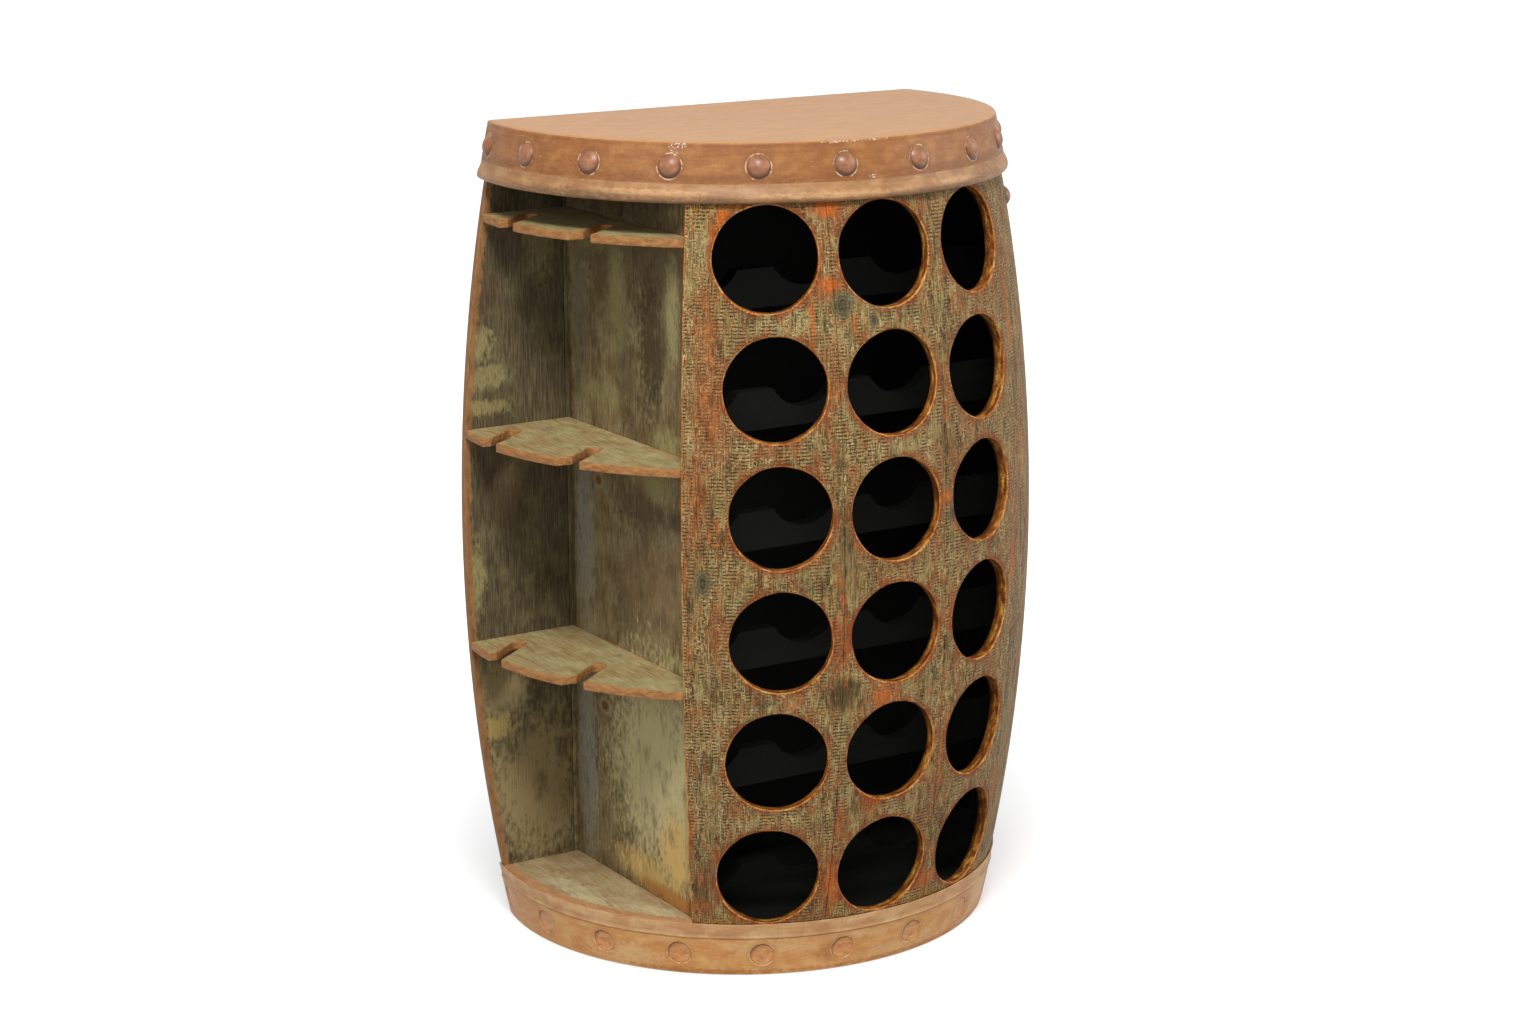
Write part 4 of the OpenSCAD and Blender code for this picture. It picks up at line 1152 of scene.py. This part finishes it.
def slot_outline(angle, r):
    """Outline of one stem slot, from its rear lip round the throat to its front lip."""
    rim = Vector((r * math.sin(angle), -r * math.cos(angle)))
    along = Vector((math.cos(slot_heading), math.sin(slot_heading)))
    side = Vector((-along.y, along.x))
    throat = rim + along * (slot_len - slot_w / 2)
    corner = rim + along * slot_chamfer + side * slot_w / 2
    lip = meet_rim(corner, (along - side).normalized(), r)
    front_lip = meet_rim(throat - side * slot_w / 2, along, r)
    rounds = [throat + side * slot_w / 2 * math.cos(t) + along * slot_w / 2 * math.sin(t)
              for t in (math.pi * k / 12 for k in range(13))]
    return [lip, corner] + rounds + [front_lip]


def angle_of(point):
    """A point's angle from the middle of the front."""
    return math.atan2(point.x, -point.y)


def rim_arc(a0, a1, r, step=math.radians(1.5)):
    """Points strictly between two angles on the rim."""
    count = max(1, int(abs(a1 - a0) / step))
    return [Vector((r * math.sin(a), -r * math.cos(a)))
            for a in (a0 + (a1 - a0) * k / count for k in range(1, count))]


def shelf_outline(z):
    """Outline of a shelf: along the rear boards, round the rim and its slots, and back by the divider."""
    r = stave_r(z) - 0.1
    inner_r = r - stave_t - 0.3
    outline = [Vector((divider_x - 0.1, inner_rear_y - 0.1))]
    last = Vector((-math.sqrt(r * r - (inner_rear_y - 0.1) ** 2), inner_rear_y - 0.1))
    outline.append(last)
    for angle in slot_angles:
        slot = slot_outline(angle, r)
        outline += rim_arc(angle_of(last), angle_of(slot[0]), r) + slot
        last = slot[-1]
    end = -front_angle - seam_angle
    outline += rim_arc(angle_of(last), end, r)
    outline += [Vector((rr * math.sin(end), -rr * math.cos(end))) for rr in (r, inner_r)]
    inner_end = math.asin((divider_x - 0.1) / inner_r)
    outline += rim_arc(end, inner_end, inner_r)
    outline.append(Vector((inner_r * math.sin(inner_end), -inner_r * math.cos(inner_end))))
    return [(p.x, p.y) for p in outline]


def outline_distance(outline):
    """Function that gives a point's distance from the nearest side of an outline."""
    corners = [Vector(p) for p in outline]
    sides = list(zip(corners, corners[1:] + corners[:1]))

    def distance(co):
        spot = co.xy
        best = 1e6
        for a, b in sides:
            along = b - a
            share = min(1.0, max(0.0, (spot - a).dot(along) / max(along.length_squared, 1e-9)))
            best = min(best, (spot - a - along * share).length)
        return best
    return distance


for name, z in shelf_levels.items():
    outline = shelf_outline(z)
    bm = sawn(outline, z - shelf_t, z, 0.9)
    wide_faces = [f for f in bm.faces if abs(f.normal.z) > 0.99 and len(f.verts) > 20]
    bmesh.ops.inset_individual(bm, faces=wide_faces, thickness=2.4, depth=0.0)
    piece("Glass_shelf_" + name, bm, shelf_paint, ["glass_shelf_" + name], grain=lying,
          marks=outline_distance(outline))

# %% [markdown]
# ## The flat back
# Five upright boards close the back. They butt against each other with rounded edges, so that a thin
# shadow line shows at each seam and no light comes through. The outer two are sawn to the bow of the
# barrel. Their edges were left raw, which gives the cabinet a thin brown outline beside the glass rack.
# Screws with a cross slot hold them to the top, the floor and the shelves.

# %% Rear boards
board_top = height - cover_t
rear_board_w = 113.0
screw_stand = 0.4
rear_gap = 0.03
rear_seams = [(i - 1.5) * rear_board_w for i in range(4)]


def rear_reach(y, z):
    """Half width of the back at a depth and a height."""
    return math.sqrt(stave_r(z) ** 2 - y ** 2) - 0.05


def rear_board(left, right):
    """Grid that is pushed to the board's thickness; left and right give x at a depth y and a height z."""
    bm = bmesh.new()
    bmesh.ops.create_grid(bm, x_segments=6, y_segments=40, size=1.0)
    inner = set(new_verts(bmesh.ops.extrude_face_region(bm, geom=list(bm.faces))))
    for vert in bm.verts:
        y = inner_rear_y if vert in inner else rear_y - screw_stand
        z = 0.1 + (board_top - 0.2) * (vert.co.y + 1) / 2
        x = left(y, z) + (right(y, z) - left(y, z)) * (vert.co.x + 1) / 2
        vert.co = (x, y, z)
    soften_corners(bm, 50, 1.3, clamp=False)
    return bm


for i in range(5):
    left = (lambda y, z: -rear_reach(y, z)) if i == 0 else (lambda y, z, x=rear_seams[i - 1]: x + rear_gap)
    right = (lambda y, z: rear_reach(y, z)) if i == 4 else (lambda y, z, x=rear_seams[i]: x - rear_gap)
    piece(f"Rear_board_{i + 1}", rear_board(left, right), rear_stain, [f"rear_board_{i + 1}"],
          grain=lambda co, i=i: Vector((co.x, co.y + board_stride * i, co.z)),
          marks=lambda co: rear_reach(co.y, co.z) - abs(co.x))

# %% Screws with a cross slot
top_core_t = board_top - core_z
screw_inset = 22.0
screw_head_r = 4.25
top_reach = math.sqrt(stave_r(height) ** 2 - rear_y ** 2)
board_edges = [(-top_reach if i == 0 else rear_seams[i - 1], top_reach if i == 4 else rear_seams[i])
               for i in range(5)]
screw_x = [x for x0, x1 in board_edges for x in (x0 + screw_inset, x1 - screw_inset)]
screw_z = (core_z + top_core_t / 2, floor_z - floor_t / 2)
screw_places = [(x, z) for x in screw_x for z in screw_z]
screw_places += [(x, z - shelf_t / 2) for x in screw_x[:2] for z in shelf_levels.values()]


def screw_head(bm, x, z, turn):
    """Round head from a small grid: its border is pulled onto a circle and a cross is pressed into it."""
    made = bmesh.ops.create_grid(bm, x_segments=7, y_segments=7, size=1.0)
    verts = made["verts"]
    faces = list({face for vert in verts for face in vert.link_faces})
    cross = [f for f in faces if min(abs(f.calc_center_median().x), abs(f.calc_center_median().y)) < 0.01
             and max(abs(f.calc_center_median().x), abs(f.calc_center_median().y)) < 0.6]
    for vert in verts:
        spread = max(abs(vert.co.x), abs(vert.co.y)) / max(vert.co.xy.length, 1e-6)
        vert.co *= screw_head_r * (1 + (spread - 1) * max(abs(vert.co.x), abs(vert.co.y)))
        vert.co.z = -0.35 * (vert.co.xy.length / screw_head_r) ** 2
    pressed = new_verts(bmesh.ops.extrude_face_region(bm, geom=cross))
    bmesh.ops.translate(bm, verts=pressed, vec=(0, 0, -1.1))
    bmesh.ops.scale(bm, verts=pressed, vec=(0.82, 0.82, 1.0))
    bmesh.ops.delete(bm, geom=cross, context="FACES_ONLY")
    border = [e for f in faces if f.is_valid for e in f.edges if e.is_boundary]
    skirt = bmesh.ops.extrude_edge_only(bm, edges=border)
    for vert in new_verts(skirt):
        vert.co.z = -2.0
    rim = [e for e in new_edges(skirt) if e.is_boundary]
    bmesh.ops.contextual_create(bm, geom=rim)
    stand = (Matrix.Translation((x, rear_y - 0.05, z)) @ Matrix.Rotation(-math.pi / 2, 4, "X")
             @ Matrix.Rotation(turn, 4, "Z"))
    bmesh.ops.transform(bm, matrix=stand, verts=connected([v for v in verts if v.is_valid]))


bm = bmesh.new()
for i, (x, z) in enumerate(screw_places):
    screw_head(bm, x, z, 0.9 * i)
piece("Rear_screws", bm, screw_zinc, ["rear_screws"])

# %% [markdown]
# ## Pieces that keep their shape
# The core board, the rails, the battens, the lining and the cradles under the bottles lie inside, where
# their edges hardly show. The shapes that the frame gives them will do, so only their finish is changed:
# brown stain, painted darker as shade, on the sawn wood, and matt black as painted shade in the bottle
# chamber.

# %% Finishes of the nodes that keep their own shape
kept = {"top_core": inner_stain, "top_rail": inner_stain, "base_rail": inner_stain,
        "base_batten_left": inner_stain, "base_batten_right": inner_stain, "chamber_lining": black_painted_shade}
kept.update({f"cradle_rail_{i}": black_painted_shade for i in range(1, 7)})
for name, material in kept.items():
    node = nodes[name]
    node.data.materials.clear()
    node.data.materials.append(material)
print("kept as they are:", len(kept), "nodes")

# %% [markdown]
# ## Floor, light and camera
# A round softbox above and to the left is the key light; a small one at the left lifts the glass rack, a
# weak one at the right fills the shadows, and the world adds an even share. They are set so that a colour
# renders about as it is written. Floor and world look plain white to the camera and in reflections, but
# give the cabinet far less light than that, and the floor keeps a soft shadow near the foot.

# %% The floor
floor_size = 30.0
floor_drop = 0.0005
shadow_r = 0.2
plain_r = 1.1
shadow_glow = 0.55


def seen_directly(tree):
    """1 for rays from the camera, in reflections and through glass, 0 for the light on the cabinet."""
    rays = tree.nodes.new("ShaderNodeLightPath")
    seen = rays.outputs["Is Camera Ray"]
    for kind in ("Is Glossy Ray", "Is Transmission Ray"):
        seen = add(tree, "Math", {0: seen, 1: rays.outputs[kind]}, operation="MAXIMUM")
    return seen


def pale_floor():
    """Matt floor that glows to the camera alone, least near the middle, where the shadow lies."""
    material, tree = new_material("Studio_floor")
    matt = add(tree, "BsdfDiffuse", {"Color": "#b4b4b4"})
    seen = seen_directly(tree)
    spot = add(tree, "VectorMath", {0: add(tree, "TexCoord", out="Object")}, "Value", operation="LENGTH")
    glow = add(tree, "MapRange", {"Value": spot, "From Min": shadow_r, "From Max": plain_r,
                                  "To Min": shadow_glow, "To Max": 1.0})
    lift = add(tree, "Emission", {"Color": "#ffffff", "Strength": glow})
    lifted = add(tree, "AddShader", {0: matt, 1: lift})
    shown = add(tree, "MixShader", {0: seen, 1: matt, 2: lifted})
    output = tree.nodes.new("ShaderNodeOutputMaterial")
    tree.links.new(shown, output.inputs["Surface"])
    return material


bm = bmesh.new()
bmesh.ops.create_grid(bm, x_segments=1, y_segments=1, size=floor_size,
                      matrix=Matrix.Translation((0.0, 0.0, -floor_drop)))
mesh = bpy.data.meshes.new("Floor")
bm.to_mesh(mesh)
bm.free()
mesh.materials.append(pale_floor())
floor = bpy.data.objects.new("Floor", mesh)
bpy.context.scene.collection.objects.link(floor)


# %% Lamps and world
def softbox(name, place, aim, size, power):
    """Round area lamp: where it stands and what it faces in metres, its width and its power in watts."""
    data = bpy.data.lights.new(name, "AREA")
    data.shape = "DISK"
    data.size = size
    data.energy = power
    lamp = bpy.data.objects.new(name, data)
    lamp.location = place
    lamp.rotation_euler = (Vector(aim) - Vector(place)).to_track_quat("-Z", "Y").to_euler()
    bpy.context.scene.collection.objects.link(lamp)
    print(f"{name}: {power} W")


softbox("Key_softbox", (-1.3, -2.0, 3.3), (0, 0, 0.4), 1.0, 128)
softbox("Side_softbox", (-2.9, -0.9, 1.5), (-0.15, 0, 0.3), 1.3, 16)
softbox("Fill_softbox", (2.6, -1.4, 1.6), (0, 0, 0.4), 1.6, 32)

world = bpy.data.worlds.new("Studio_world")
bpy.context.scene.world = world
world.use_nodes = True
sky = world.node_tree
sky.nodes.clear()
ambient = add(sky, "Background", {"Color": "#ffffff", "Strength": 0.3})
white = add(sky, "Background", {"Color": "#ffffff", "Strength": 1.0})
mixed = add(sky, "MixShader", {0: seen_directly(sky), 1: ambient, 2: white})
sky_out = sky.nodes.new("ShaderNodeOutputWorld")
sky.links.new(mixed, sky_out.inputs["Surface"])

# %% [markdown]
# The camera stands at the front left, a little above the top, far enough away for the barrel to keep its
# shape. Its direction comes from three angles, in radians: how far it turns from straight on, how far it
# looks down, and a slight roll. The lens is a focal length in picture widths, times the sensor's width.

# %% The camera
view_turn = 0.558
view_drop = 0.241
view_roll = -0.004
focal_widths = 3203.06 / 1536
camera_place = (-1.63216, -2.55063, 1.16395)
camera_data = bpy.data.cameras.new("Camera")
camera_data.sensor_width = 36.0
camera_data.lens = focal_widths * camera_data.sensor_width
forward = Vector((math.sin(view_turn) * math.cos(view_drop), math.cos(view_turn) * math.cos(view_drop),
                  -math.sin(view_drop)))
right = Vector((math.cos(view_turn), -math.sin(view_turn), 0.0))
up = right.cross(forward)
tilted_right = right * math.cos(view_roll) + up * math.sin(view_roll)
tilted_up = up * math.cos(view_roll) - right * math.sin(view_roll)
camera = bpy.data.objects.new("Camera", camera_data)
turn = Matrix((tilted_right, tilted_up, -forward)).transposed()
camera.matrix_world = Matrix.Translation(camera_place) @ turn.to_4x4()
bpy.context.scene.collection.objects.link(camera)
bpy.context.scene.camera = camera
bpy.context.scene.view_settings.view_transform = "Standard"
print("lens:", round(camera_data.lens, 1), "mm")
